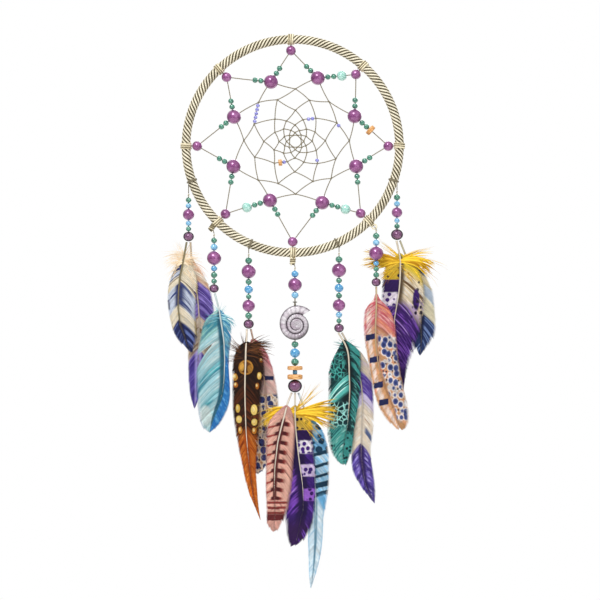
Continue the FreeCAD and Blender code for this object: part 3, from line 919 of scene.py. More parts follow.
def add_hitch(name, material):
    """The knot at a strand's top: two small coils that cross."""
    form = Form()
    ball = knot_place(name)
    add_tube(form, coil(ball, Vector((0.3, 0.2, 1)), 0.36, 0.24, 2), 0.24, 8)
    add_tube(form, coil(ball, Vector((1, 0.2, -0.3)), 0.34, 0.22, 1.5), 0.22, 8)
    form.piece(name + "_hitch", [material], name + "_strand_knot", slot="wrap_cord")


def add_wood_spacers(material):
    form = Form()
    for points in islands("wood_spacers"):
        box = Box(points)
        half = box.size.z / 2
        profile = disc_profile(box.size.x / 2, half, BEAD_HOLE_RADIUS, half * 0.55)
        add_lathe(form, box.middle, UP, profile, 64)
    form.piece("wood_spacer_discs", [material], "wood_spacers", slot="turned_wood")


# ---------------------------------------------------------------- pendant


def shell_whorls():
    """The shell about its eye, its lip one unit out, and how bright each of its points is painted: painted
    highlight on the crowns of its whorls and ribs, and painted shade in the seams between whorls and along
    its lower right.
    """
    points, painted_lights = [], []
    for step in range(SHELL_STEPS + 1):
        turn = SHELL_TURNS * step / SHELL_STEPS
        reach = SHELL_RATIO**-turn
        half = reach * (1 - 1 / SHELL_RATIO) / 2
        angle = math.radians(SHELL_LIP) + 2 * math.pi * turn
        slant = math.radians(5) * max(0.0, 1 - turn / 0.16)
        rib = 0.5 + 0.5 * math.cos(2 * math.pi * step / STEPS_PER_RIB)
        # painted shade along the shell's lower right, strongest on the outer whorl
        lower_right_shade = max(0.0, math.cos(angle + math.radians(62))) * (1 if turn < 1 else 0.35)
        for side in range(SHELL_SIDES):
            around = 2 * math.pi * side / SHELL_SIDES
            radial = reach - half + half * 1.02 * math.cos(around)
            place = angle - slant * math.cos(around)
            depth = SHELL_DEPTH * (0.45 + 0.55 * reach) * math.sin(around) * (0.95 + 0.07 * rib)
            points.append(Vector((radial * math.cos(place), -depth, radial * math.sin(place))))
            # painted highlight on each whorl's crown and ribs, painted shade in the seams between whorls
            front = max(math.sin(around), -0.75 * math.sin(around)) ** 1.3
            lower_right_darkening = 1 - 0.85 * lower_right_shade * (0.45 + 0.55 * math.cos(around))
            painted_lights.append(front * lower_right_darkening * (0.74 + 0.3 * rib * reach))
    return points, painted_lights


def add_shell(form, middle):
    """The whorled tube, stretched to the shell's oval, with a low dome in its eye."""
    points, painted_lights = shell_whorls()
    plan = Box(points)
    wide = SHELL_WIDTH / plan.size.x
    high = SHELL_HEIGHT / plan.size.z
    eye = middle - Vector((plan.middle.x * wide, 0, plan.middle.z * high))
    points = [eye + Vector((point.x * wide, point.y, point.z * high)) for point in points]
    form.add(points, ring_faces(SHELL_STEPS + 1, SHELL_SIDES, False), crest=painted_lights)
    dome = disc_profile(SHELL_RATIO**-SHELL_TURNS * high, 1.0, 0.05, 0.9)
    add_lathe(form, eye - Vector((0, 0.1, 0)), Vector((0, 1, 0)), dome, 32, crest=0.66)


def add_bail(form, bail, foot):
    """A wire ring round the strand's cord, with a neck down into the shell."""
    steps = 32
    turns = [2 * math.pi * step / steps for step in range(steps)]
    ring = [bail + Vector((math.sin(turn), -math.cos(turn), 0)) * BAIL_RADIUS for turn in turns]
    add_tube(form, ring, 0.4, 10, True, slot=1)
    neck = [bail + Vector((0, -BAIL_RADIUS, 0.1)), bail + Vector((0, -1.9, -1.0)), foot]
    add_tube(form, neck, [0.45, 0.6, 1.0], 12, slot=1)


def add_ammonite(stone, brass):
    """A fossil shell that hangs by a wire bail in front of the centre strand."""
    box = node_box("ammonite_pendant")
    knot = knot_place("centre")
    middle = Vector((knot.x, box.low.y + 2.0, box.low.z + SHELL_HEIGHT / 2))
    form = Form()
    add_shell(form, middle)
    bail = Vector((knot.x, knot.y, box.high.z - 0.45))
    add_bail(form, bail, Vector((bail.x, middle.y, middle.z + SHELL_HEIGHT / 2 - 1.5)))
    form.piece("ammonite_shell", [stone, brass], "ammonite_pendant", slot="fossil_stone")


# ---------------------------------------------------------------- feathers: shape


class Outline:
    """A feather's edges, quill and plane, measured on its CAD solid."""

    STEP = 1.0
    NARROWEST = 2.0
    VANE_DEPTH = 0.56
    QUILL_STEP = 0.2

    def __init__(self, node):
        mesh = NODES[node].data
        points = [vertex.co / MM for vertex in mesh.vertices]
        self.tree = BVHTree.FromPolygons(points, [list(face.vertices) for face in mesh.polygons])
        self.box = Box(points)
        low = [point.y for point in points if point.z < self.box.low.z + self.box.size.z * 0.3]
        self.plane = (min(low) + max(low)) / 2
        top = [point for point in points if point.z > self.box.high.z - 0.4]
        self.hinge = sum(top, Vector()) / len(top)
        self.rows = []
        level = self.box.high.z
        while level > self.box.low.z + 0.3:
            self.measure(level)
            level -= self.STEP
        self.top = self.rows[0][0]
        self.tip = self.box.low.z
        self.tip_x = min(points, key=lambda point: point.z).x

    def hit(self, origin, way):
        return self.tree.ray_cast(Vector(origin), Vector(way))[0]

    def measure(self, level):
        """Adds the vane's left edge, quill and right edge at one height, if the vane is there."""
        left = self.hit((self.box.low.x - 1, self.plane, level), (1, 0, 0))
        right = self.hit((self.box.high.x + 1, self.plane, level), (-1, 0, 0))
        if not left or not right or right.x - left.x < self.NARROWEST and not self.rows:
            return
        quill = self.rows[-1][2] if self.rows else (left.x + right.x) / 2
        nearest = self.plane - self.VANE_DEPTH
        for step in range(int((right.x - left.x) / self.QUILL_STEP) + 1):
            across = left.x + step * self.QUILL_STEP
            found = self.hit((across, self.plane - 4, level), (0, 1, 0))
            if found and found.y < nearest:
                nearest = found.y
                quill = across
        self.rows.append((level, left.x, quill, right.x))

    def at(self, level, column):
        """The left edge (1), quill (2) or right edge (3) at a height."""
        place = (self.top - level) / self.STEP
        if place >= len(self.rows) - 1:
            last = self.rows[-1]
            share = min(1.0, (last[0] - level) / max(last[0] - self.tip, 0.01))
            return last[column] + (self.tip_x - last[column]) * share
        number = max(0, int(place))
        share = max(0.0, place - number)
        return self.rows[number][column] * (1 - share) + self.rows[number + 1][column] * share

    def quill_at(self, level):
        """The quill's line, which heads for the tip once the vane narrows."""
        near = self.at(level, 2)
        share = max(0.0, 1 - (level - self.tip) / ((self.top - self.tip) * 0.3))
        middle = (self.at(level, 1) + self.at(level, 3)) / 2
        return near * (1 - share) + middle * share


def barb_shares():
    return [step / (BARB_STEPS - 1) for step in range(BARB_STEPS)]


def feather_barbs(outline, side):
    """Each barb's line from the quill to the vane's edge, as points across and down."""
    length = outline.top - outline.tip
    roots = int(length * BARB_REACH / BARB_SPACING)
    lines = []
    for number in range(roots):
        root = length * BARB_REACH * number / (roots - 1)
        level = outline.top - root
        quill = outline.quill_at(level)
        column = 1 if side < 0 else 3
        width = abs(outline.at(level, column) - quill)
        left = length - root
        fall = left * (1 - math.exp(-(BARB_LEAN * width + 0.6) / left))
        end_level = level - fall
        edge = outline.at(end_level, column)
        start = Vector((quill, level))
        end = Vector((edge, end_level))
        bend = Vector((quill + (edge - quill) * 0.55, level - fall * 0.3))
        lines.append([start.lerp(bend, t).lerp(bend.lerp(end, t), t) for t in barb_shares()])
    return lines


def clump_shifts(count, generator):
    """How far each barb's end leans along the vane, in groups that cling together."""
    shifts = []
    while len(shifts) < count:
        size = generator.randint(5, 15)
        cling = generator.uniform(0.0, 0.34)
        shifts += [(0.5 - (number + 0.5) / size) * size * cling for number in range(size)]
    return shifts[:count]


def split_shift(root, splits):
    """How far a torn place in the vane's edge pushes a barb's end up or down."""
    total = 0.0
    for where, gap in splits:
        away = root - where
        total -= math.copysign(gap / 2, away) * math.exp(-((away / 7) ** 2))
    return total


def barb_ring(centre, rim, thick):
    """Four corners round a barb, whose upper rim is tilted forward over the next one."""
    return [
        (centre + rim, BARB_TILT),
        (centre + rim * 0.1, -thick),
        (centre - rim, -BARB_TILT),
        (centre - rim * 0.1, thick),
    ]


def barb_half_width(gap, share):
    """Half a barb's width: enough to lie over its neighbour, then narrowing to its end."""
    half = BARB_OVERLAP * min(max(gap, BARB_GAP_LEAST), BARB_GAP_MOST) / 2
    taper = max(0.0, (share - BARB_TAPER_START) / (1 - BARB_TAPER_START))
    return half * (1 - 0.8 * taper**1.6)


def add_barbs(form, outline, side, seed, splits, bead):
    """All the barbs on one side of the shaft. Their marks are measured from the end bead's foot."""
    generator = random.Random(seed)
    lines = feather_barbs(outline, side)
    shifts = clump_shifts(len(lines), generator)
    shares = barb_shares()
    clump_tone = 0.5
    for number, line in enumerate(lines):
        root = bead.low.z - line[0].y
        other = lines[number + 1] if number + 1 < len(lines) else lines[number - 1]
        push = shifts[number] * BARB_SPACING + split_shift(root, splits)
        if number % BARBS_OF_ONE_TONE == 0:
            clump_tone = generator.random()
        streak = 0.55 * clump_tone + 0.45 * generator.random()
        lift = generator.uniform(-0.05, 0.05)
        room = min(1.0, abs(outline.at(line[0].y, 1) - outline.at(line[0].y, 3)) / 12)
        points, across = [], []
        for step, share in enumerate(shares):
            here = line[step]
            way = (line[min(step + 1, BARB_STEPS - 1)] - line[max(step - 1, 0)]).normalized()
            normal = Vector((-way.y, way.x))
            gap = abs((other[step] - here).dot(normal))
            upper = 1 if normal.y > 0 else -1
            rim = normal * upper * barb_half_width(gap, share)
            centre = here + Vector((0, push * share**2.2 * room))
            depth = outline.plane + VANE_CUP * (share**2 - 0.35) + lift
            ring = barb_ring(centre, rim, BARB_THICKNESS * (1 - 0.6 * share))
            order = ring if upper * side > 0 else ring[::-1]
            points += [Vector((flat.x, depth + offset, flat.y)) for flat, offset in order]
            across += [side * share] * len(ring)
        form.add(
            points,
            ring_faces(BARB_STEPS, 4, False),
            root=root,
            streak=streak,
            across=across,
            outer=[0.0, 1.0, 0.0, 1.0] * BARB_STEPS,
            drop=[bead.low.z - point.z for point in points],
            side=[point.x - bead.middle.x for point in points],
        )


def add_quill(form, outline):
    """The shaft: straight from the bead, then down the vane, thinning to nothing near the tip."""
    length = outline.top - outline.tip
    path = [outline.hinge]
    first = Vector((outline.at(outline.top, 2), outline.plane, outline.top))
    path += [outline.hinge.lerp(first, share) for share in (0.25, 0.5, 0.75)]
    steps = 40
    for step in range(steps + 1):
        level = outline.top - length * QUILL_REACH * step / steps
        path.append(Vector((outline.quill_at(level), outline.plane - 0.12, level)))
    for _ in range(3):
        eased = [(before + point * 2 + after) / 4 for before, point, after in zip(path, path[1:], path[2:])]
        path = [path[0], *eased, path[-1]]
    total = len(path) - 1
    thin = [max(0.0, 1 - number / total * 1.15) ** 0.8 for number in range(total + 1)]
    radii = [QUILL_TIP_RADIUS + (QUILL_TOP_RADIUS - QUILL_TIP_RADIUS) * share for share in thin]
    add_tube(form, path, radii, 10, slot=1)


def add_hair(form, start, heading, curl, length, thick, depth, streak):
    """One loose barb: it leaves at a heading in degrees above level, and curls as it goes."""
    steps = 7
    place = Vector(start)
    path = [place.copy()]
    for step in range(steps):
        angle = math.radians(heading + curl * (step + 0.5) / steps)
        place = place + Vector((math.cos(angle), depth / length, math.sin(angle))) * (length / steps)
        path.append(place.copy())
    radii = [thick * (1 - 0.93 * (number / steps) ** 1.5) for number in range(steps + 1)]
    add_tube(form, path, radii, 4, slot=2, streak=streak, flat=0.5)


def shaft_at(outline, height):
    """The shaft's place across at a height, in the vane or between it and the bead."""
    if height < outline.top:
        return outline.quill_at(height)
    share = (outline.hinge.z - height) / (outline.hinge.z - outline.top)
    return outline.hinge.x + (outline.at(outline.top, 2) - outline.hinge.x) * share


def add_tuft(form, outline, seed, side, level, spread, heading, curl, length, thick, count):
    """Loose barbs that leave the shaft together and fan out."""
    generator = random.Random(seed)
    for _ in range(count):
        height = level + generator.uniform(-spread, spread)
        start = (shaft_at(outline, height), outline.plane + generator.uniform(-0.25, 0.25), height)
        way = heading + generator.gauss(0, 9)
        bend = curl + generator.gauss(0, 10)
        reach = length * generator.uniform(0.6, 1.05)
        angle, turn = (way, bend) if side > 0 else (180 - way, -bend)
        drift = generator.uniform(-TUFT_DEPTH, TUFT_DEPTH)
        width = thick * generator.uniform(0.7, 1.2)
        add_hair(form, start, angle, turn, reach, width, drift, generator.random())


# ---------------------------------------------------------------- feathers: colour


class FeatherPaint(Paint):
    """A vane's colours, laid one over another. All places are in millimetres from the end bead's foot."""

    def __init__(self, name, ground):
        super().__init__(name + "_vane", roughness=0.6, specular_ior_level=0.2)
        self.streak = self.mark("streak")
        ragged = self.maths("MULTIPLY", self.maths("SUBTRACT", self.streak, 0.5), 2.6)
        self.root = self.maths("ADD", self.mark("root"), ragged)
        self.drop = self.maths("ADD", self.mark("drop"), self.maths("MULTIPLY", ragged, 0.25))
        self.side = self.mark("side")
        self.across = self.mark("across")
        self.reach = self.maths("ABSOLUTE", self.across)
        strokes = self.vector(self.maths("MULTIPLY", self.root, 1.3), self.reach)
        self.grain = self.noise(strokes, 1.4, detail=4.0)
        self.left = self.above(self.across, 0, 0.04)
        self.right = self.below(self.across, 0, 0.04)
        self.base = colour(ground)

    def cover(self, code, *masks):
        """Lays a colour where all the masks are 1."""
        self.base = self.blend(self.both(*masks), self.base, colour(code))

    def both(self, *masks):
        total = masks[0]
        for mask in masks[1:]:
            total = self.maths("MULTIPLY", total, mask)
        return total

    def below(self, where, level, soft=1.6):
        return self.step(where, level - soft / 2, level + soft / 2)

    def above(self, where, level, soft=1.6):
        return self.step(where, level + soft / 2, level - soft / 2)

    def band(self, where, low, high, soft=1.6):
        return self.both(self.below(where, low, soft), self.above(where, high, soft))

    def near(self, reach, soft=0.3):
        return self.above(self.reach, reach, soft)

    def far(self, reach, soft=0.3):
        return self.below(self.reach, reach, soft)

    def some(self, share, soft=0.25):
        """A share of the barbs, as whole streaks."""
        return self.below(self.streak, 1 - share, soft)

    def brushed(self, share, soft=0.2):
        """Soft strokes along the barbs that cover about a share of the vane."""
        return self.below(self.grain, 0.74 - 0.48 * share, soft)

    def oval(self, side, drop, half_side, half_drop, soft=0.25):
        away = [self.maths("DIVIDE", self.maths("SUBTRACT", where, middle), half)
                for where, middle, half in ((self.side, side, half_side), (self.drop, drop, half_drop))]
        squares = [self.maths("MULTIPLY", value, value) for value in away]
        return self.above(self.maths("ADD", *squares), 1, soft)

    def spots(self, spacing, size, stretch=1.0, soft=0.12, seed=0.0):
        """Round or oval spots on a loose lattice, size being a spot's share of its cell."""
        where = self.vector(
            self.maths("MULTIPLY_ADD", self.side, 1 / spacing, seed),
            self.maths("MULTIPLY", self.drop, 1 / (spacing * stretch)),
        )
        inputs = {"Vector": where, "Scale": 1.0, "Randomness": 0.55}
        cells = self.node("TexVoronoi", inputs).outputs["Distance"]
        return self.above(cells, size, soft)

    def honeycomb(self, spacing, width, stretch=1.0, soft=0.08):
        """The walls between cells, width being a wall's share of its cell."""
        where = self.vector(
            self.maths("MULTIPLY", self.side, 1 / spacing),
            self.maths("MULTIPLY", self.drop, 1 / (spacing * stretch)),
        )
        inputs = {"Vector": where, "Scale": 1.0, "Randomness": 0.7}
        walls = self.node("TexVoronoi", inputs, feature="DISTANCE_TO_EDGE").outputs["Distance"]
        return self.above(walls, width, soft)

    def bars(self, where, start, period, share, soft=0.35):
        """Repeating bars across the vane, share being how much of each period is bar."""
        phase = self.maths("FRACT", self.maths("DIVIDE", self.maths("SUBTRACT", where, start), period))
        centred = self.maths("ABSOLUTE", self.maths("SUBTRACT", phase, 0.5))
        return self.above(centred, share / 2, soft * 0.5)

    def finish(self, shaft_shade="5a4a40", lines=0.55):
        """Adds the shade beside the shaft, painted shade along each barb's edges for the gaps between barbs,
        and each barb's own tone.
        """
        beside = self.maths("MULTIPLY", self.near(0.1, 0.16), 0.4)
        base = self.blend(beside, self.base, colour(shaft_shade))
        tone = self.node("MapRange", {"Value": self.streak, "To Min": 0.72, "To Max": 1.34}).outputs[0]
        # painted shade at each barb's edges, as dark lines between barbs
        gap = self.maths("SUBTRACT", 1.0, self.mark("outer"))
        rim = self.maths("MULTIPLY_ADD", gap, -lines, 1.0)
        along = self.maths("MULTIPLY", self.mark("root"), 5.0)
        strand = self.vector(along, self.maths("MULTIPLY", self.reach, 3.0))
        fine = self.maths("MULTIPLY_ADD", self.noise(strand, 2.0, detail=2.0), 0.5, 0.77)
        light = self.both(tone, rim, fine)
        grey = self.node("CombineColor", {0: light, 1: light, 2: light}).outputs[0]
        self.bump(self.mark("outer"), 0.05, 0.6)
        return self.done(self.blend(1.0, base, grey, "MULTIPLY"))


def cream_navy_vane(name):
    """Cream, with a pale blue patch, a navy chevron and a navy tip."""
    p = FeatherPaint(name, "f6ead0")
    p.cover("f8d9b0", p.above(p.root, 12, 5))
    p.cover("e6cc92", p.brushed(0.3), p.near(0.5))
    p.cover("fffaf0", p.brushed(0.35), p.far(0.3))
    p.cover("d2b878", p.far(0.88, 0.12), p.below(p.root, 20, 10))
    p.cover("6d5a34", p.some(0.12), p.band(p.root, 14, 60, 6))
    p.cover("6b6540", p.near(0.05, 0.08))
    patch = p.both(p.left, p.band(p.root, 12.5, 24))
    p.cover("d5dff3", patch)
    p.cover("2b3564", patch, p.some(0.5))
    p.cover("2b3564", patch, p.above(p.root, 15.5))
    chevron = p.band(p.root, 29, 44)
    p.cover("dbe4f6", chevron, p.far(0.15))
    p.cover("2f3a70", chevron, p.near(0.3, 0.35))
    p.cover("38457c", chevron, p.some(0.35), p.near(0.8, 0.4))
    p.cover("2b3564", p.left, p.far(0.82, 0.1), p.band(p.drop, 41, 48))
    p.cover("252d60", p.below(p.root, 55.5))
    p.cover("6676b4", p.below(p.root, 57), p.some(0.3), p.far(0.2))
    p.cover("171c44", p.below(p.root, 56), p.near(0.22, 0.2))
    return p.finish("6d5f3f")


def peach_violet_vane(name):
    """Peach, with a violet band, thin brown stripes and a violet tip."""
    p = FeatherPaint(name, "fae2c8")
    p.cover("f8c8a4", p.brushed(0.5), p.above(p.root, 34, 6))
    p.cover("fff4e6", p.some(0.3), p.above(p.root, 34, 6))
    p.cover("8c6a52", p.some(0.1), p.above(p.root, 30, 4))
    violet = p.band(p.root, 27, 52)
    p.cover("6a54ae", violet)
    p.cover("9c88d8", violet, p.some(0.45))
    p.cover("463584", violet, p.brushed(0.3))
    stripes = p.band(p.root, 52, 76)
    p.cover("9b7c5c", stripes, p.some(0.35))
    p.cover("f9efe2", stripes, p.brushed(0.3))
    tip = p.below(p.root, 76)
    p.cover("4b3a92", tip)
    p.cover("7b66c4", tip, p.some(0.35))
    p.cover("b7a7ec", tip, p.near(0.3, 0.25))
    return p.finish("4b3c62")


def sky_blue_vane(name):
    """Pale sky blue mottled with teal, and deep blue low down on the right."""
    p = FeatherPaint(name, "acdbe4")
    p.cover("9fd8cf", p.left, p.above(p.root, 24, 5))
    p.cover("d6eeee", p.left, p.brushed(0.38))
    for start, end in ((14, 22), (44, 54), (66, 73)):
        mottle = p.both(p.left, p.band(p.root, start, end, 5), p.brushed(0.55))
        p.cover("4499ae", mottle)
        p.cover("5cc0c4", mottle, p.some(0.4))
        p.cover("1e4c66", mottle, p.far(0.6), p.some(0.3))
    p.cover("7fc3dc", p.right, p.above(p.root, 46, 6))
    p.cover("3c86b4", p.right, p.above(p.root, 46, 6), p.some(0.35))
    deep = p.both(p.right, p.below(p.root, 42, 6))
    p.cover("2f7dc6", deep)
    p.cover("63b1e4", deep, p.brushed(0.4))
    p.cover("215fa6", deep, p.some(0.28))
    p.cover("d3e6e4", p.oval(-6, 86, 4.2, 7, 0.9))
    p.cover("2f6a82", p.near(0.16, 0.1))
    p.cover("3b86b4", p.far(0.94, 0.06), p.below(p.drop, 60, 20))
    return p.finish("2a6178")


BROWN_SPOTS = [
    ("d89a3c", (-9.7, 33.7, 2.2, 2.4)),
    ("f0c560", (7.5, 33.0, 1.5, 2.5)),
    ("b8691c", (-9.0, 39.2, 1.6, 1.9)),
    ("b8691c", (6.0, 40.0, 1.3, 2.2)),
    ("efc458", (-7.5, 55.5, 1.5, 2.9)),
    ("f6d676", (3.8, 56.7, 2.3, 3.6)),
    ("f3d070", (-6.7, 63.2, 2.0, 2.6)),
    ("f3d070", (4.0, 65.2, 2.0, 2.4)),
    ("dd9030", (-5.8, 70.7, 1.5, 2.6)),
    ("d08028", (3.9, 71.2, 1.7, 2.4)),
    ("8a4c18", (9.0, 22.0, 1.6, 1.6)),
]


def brown_spotted_vane(name):
    """Near black with an eye and pairs of amber spots, over an orange tail."""
    p = FeatherPaint(name, "241006")
    p.cover("4a2610", p.brushed(0.35), p.below(p.root, 8, 6))
    p.cover("743510", p.below(p.root, 44, 24), p.some(0.5))
    p.cover("140803", p.some(0.22), p.above(p.root, 62, 8))
    p.cover("8a4312", p.below(p.root, 58, 14), p.far(0.45, 0.4), p.brushed(0.5))
    tail = p.below(p.root, 71, 7)
    p.cover("cc661a", tail)
    p.cover("ee9440", tail, p.brushed(0.35))
    p.cover("7c3208", tail, p.some(0.3), p.above(p.root, 100, 30))
    p.cover("b04e10", tail, p.near(0.3, 0.3))
    p.cover("c88a34", p.oval(-1.9, 27.0, 5.1, 5.1))
    p.cover("6d3e14", p.oval(-1.9, 27.0, 4.0, 4.0, 0.4))
    p.cover("e4ac4a", p.oval(-4.6, 26.4, 1.5, 3.0, 0.5))
    p.cover("b07a2e", p.oval(0.8, 28.0, 1.7, 2.6, 0.7))
    for code, (side, drop, half_side, half_drop) in BROWN_SPOTS:
        p.cover("3c1c08", p.oval(side, drop, half_side + 0.6, half_drop + 0.6))
        p.cover(code, p.oval(side, drop, half_side, half_drop))
        p.cover("fbe49a", p.oval(side - 0.3, drop - 0.5, half_side * 0.45, half_drop * 0.5, 0.8))
    return p.finish("1a0c05")


def pink_navy_vane(name):
    """Pink above, and peach with navy spots below, with two dashes."""
    p = FeatherPaint(name, "f4c8c0")
    p.cover("e27c8c", p.above(p.root, 22, 12))
    p.cover("f8c4c4", p.brushed(0.4), p.above(p.root, 34, 6))
    p.cover("f7ded4", p.brushed(0.4), p.band(p.root, 20, 46, 5))
    lower = p.below(p.drop, 46, 3)
    p.cover("eab98a", lower)
    for drop in (34.5, 50.5):
        p.cover("28305c", p.band(p.drop, drop - 1.4, drop + 1.6, 0.6), p.band(p.side, 8, 17.5, 0.5))
    p.cover("fbeedc", lower, p.spots(4.4, 0.66, 1.2))
    p.cover("3d4a88", lower, p.spots(4.4, 0.5, 1.2))
    p.cover("1d2048", lower, p.spots(2.4, 0.26, 1.3, seed=3.0))
    return p.finish("7c4a4a")


def dusty_rose_vane(name):
    """Dusty rose with dark red thorns beside the shaft and bars near the foot."""
    p = FeatherPaint(name, "e8b09e")
    p.cover("f6c4b0", p.brushed(0.45), p.band(p.reach, 0.3, 0.85, 0.2))
    p.cover("c48f88", p.above(p.root, 13, 8))
    p.cover("d09c94", p.far(0.86, 0.14))
    p.cover("8f5c56", p.right, p.some(0.13), p.far(0.3))
    sloped = p.maths("SUBTRACT", p.drop, p.maths("MULTIPLY", p.reach, 2.6))
    upper = p.band(p.drop, 18, 75, 2)
    middle = p.bars(sloped, 18.0, 6.5, 0.42)
    thin = p.bars(sloped, 18.7, 6.5, 0.22)
    p.cover("a83c38", upper, thin, p.left, p.above(p.reach, 0.92, 0.1))
    p.cover("963634", upper, middle, p.right, p.near(0.55, 0.25))
    p.cover("4c191e", upper, middle, p.near(0.4, 0.25))
    p.cover("5c2426", upper, p.near(0.16, 0.12))
    lower = p.band(p.drop, 75, 85, 1.2)
    p.cover("8c3a38", lower, p.bars(p.drop, 75.0, 3.5, 0.5), p.above(p.reach, 0.88, 0.15))
    p.cover("6a262a", p.band(p.drop, 84.6, 89.2, 1.0), p.above(p.reach, 0.94, 0.08))
    p.cover("dca496", p.below(p.drop, 89.4, 1.0))
    return p.finish("6b3a36")


PURPLE_LACE = [
    (33.4, 42.6, "f6eef8", "4a2386"),
    (50, 58.5, "e2cdf2", "3f1c78"),
    (67, 75.4, "a86adf", "35155f"),
]


def purple_spotted_vane(name):
    """Deep purple under a yellow top, with three spotted blocks on the right and painted highlight streaks
    low on the left.
    """
    p = FeatherPaint(name, "3a1a72")
    p.cover("5a34a0", p.brushed(0.35))
    p.cover("241048", p.near(0.4, 0.3))
    p.cover("220e44", p.some(0.3))
    # painted highlight: pale violet streaks low on the left vane
    p.cover("9052d4", p.left, p.band(p.drop, 54, 84, 10), p.brushed(0.5), p.far(0.3))
    p.cover("cfa4f4", p.left, p.band(p.drop, 60, 76, 8), p.some(0.2), p.far(0.35))
    p.cover("e2b84a", p.above(p.drop, 26, 0.8))
    p.cover("1c1030", p.band(p.drop, 17, 25.4, 1), p.spots(3.4, 0.36))
    p.cover("2c1450", p.band(p.drop, 26.6, 33.2, 0.6))
    for start, end, cell, spot in PURPLE_LACE:
        lace = p.both(p.band(p.drop, start, end, 1.2), p.right)
        p.cover(cell, lace)
        p.cover(spot, lace, p.spots(3.3, 0.43, 1.05, seed=start))
    p.cover("35184f", p.below(p.drop, 90, 12))
    p.cover("7a4cc0", p.right, p.below(p.drop, 76, 4), p.far(0.5), p.some(0.3))
    return p.finish("1f0c3c")


def blue_barred_vane(name):
    """Light blue with dark spots, then dark bars, over a long pale tail."""
    p = FeatherPaint(name, "86c1e4")
    p.cover("e4f3fa", p.brushed(0.42), p.band(p.drop, 34, 76, 6))
    p.cover("5d9cc8", p.above(p.drop, 42, 5), p.brushed(0.6))
    p.cover("163a54", p.band(p.drop, 22, 43, 1.5), p.spots(5.2, 0.5, 0.9, seed=1.0))
    slanted = p.maths("ADD", p.drop, p.maths("MULTIPLY", p.side, 0.28))
    for middle, half in ((47.5, 1.3), (55.8, 1.1), (63.0, 1.0), (69.5, 2.0), (75.8, 1.6)):
        p.cover("15384f", p.band(slanted, middle - half, middle + half, 0.7))
    p.cover("6aaedb", p.right, p.band(p.drop, 72, 90, 5), p.far(0.3))
    tail = p.below(p.root, 74, 5)
    p.cover("c8dfec", tail)
    p.cover("eef7fb", tail, p.brushed(0.4))
    p.cover("7fa7be", tail, p.some(0.22))
    p.cover("8dc6e6", tail, p.far(0.85, 0.15))
    p.cover("6f9cb4", tail, p.near(0.2, 0.2))
    return p.finish("3c6680", 0.24)


def teal_vane(name):
    """Dark teal with lace, painted highlight streaks on the right and left vanes, and a pale foot on the
    left.
    """
    p = FeatherPaint(name, "174a4e")
    p.cover("0e2c30", p.brushed(0.5))
    p.cover("0c2227", p.near(0.3, 0.35), p.above(p.root, 60, 20))
    p.cover("3a9690", p.right, p.some(0.36), p.far(0.25))
    p.cover("0d2a2e", p.right, p.above(p.streak, 0.3, 0.25), p.below(p.root, 8, 6))
    # painted highlight: a bright streak down the right vane
    p.cover("7fe0d6", p.right, p.far(0.45), p.brushed(0.3), p.band(p.root, 16, 66, 10))
    # painted highlight: a bright streak across the left vane, palest in its middle
    p.cover("5fc9bf", p.left, p.band(p.root, 28, 41, 4), p.some(0.7))
    p.cover("d4faf4", p.left, p.band(p.root, 31, 38, 3), p.some(0.4), p.far(0.2))
    upper = p.both(p.left, p.band(p.drop, 14, 33, 3), p.far(0.2))
    p.cover("4fb8ad", upper, p.honeycomb(2.7, 0.08, 1.2))
    lace = p.both(p.left, p.band(p.drop, 49, 68, 2), p.above(p.reach, 0.92, 0.1))
    p.cover("0f3338", lace)
    p.cover("a4e8e0", lace, p.honeycomb(3.0, 0.08, 1.15))
    foot = p.both(p.left, p.below(p.drop, 66, 5))
    p.cover("55b4aa", foot)
    p.cover("b9f1e8", foot, p.brushed(0.3))
    p.cover("1c5c60", foot, p.some(0.35))
    p.cover("123a40", p.left, p.band(p.drop, 70, 84, 2), p.far(0.72, 0.1), p.spots(2.8, 0.4))
    corner = p.both(p.right, p.below(p.drop, 70, 4))
    p.cover("3f9a94", corner)
    p.cover("0d2a30", corner, p.spots(2.5, 0.4, 1.0, seed=5.0))
    return p.finish("081c20")


def cream_purple_vane(name):
    """Cream, with a violet band, a small dash and a violet tip."""
    p = FeatherPaint(name, "f2e2cc")
    p.cover("d9cce0", p.above(p.root, 26, 5), p.brushed(0.4))
    p.cover("a8876a", p.some(0.2), p.band(p.root, 44, 80, 6))
    p.cover("fdf8f0", p.brushed(0.35), p.below(p.root, 40, 6))
    violet = p.band(p.root, 26, 46)
    p.cover("6248ac", violet)
    p.cover("9582d6", violet, p.brushed(0.4))
    p.cover("43308a", violet, p.some(0.25))
    p.cover("ddd2f0", p.band(p.root, 42, 50, 3), p.some(0.6))
    p.cover("5d6a94", p.right, p.far(0.3), p.band(p.root, 64, 69, 1.4))
    tip = p.below(p.root, 78)
    p.cover("4a3890", tip)
    p.cover("7d68c8", tip, p.some(0.35), p.far(0.2))
    # painted highlight: lavender streaks along the tip
    p.cover("c3b6f0", tip, p.band(p.reach, 0.3, 0.6, 0.2), p.brushed(0.35))
    p.cover("352664", tip, p.near(0.25, 0.2))
    return p.finish("5b4668")


PEACH_DASHES = [(-4.2, 35.4), (-1.4, 51.2), (1.4, 69.0), (5.2, 80.8)]


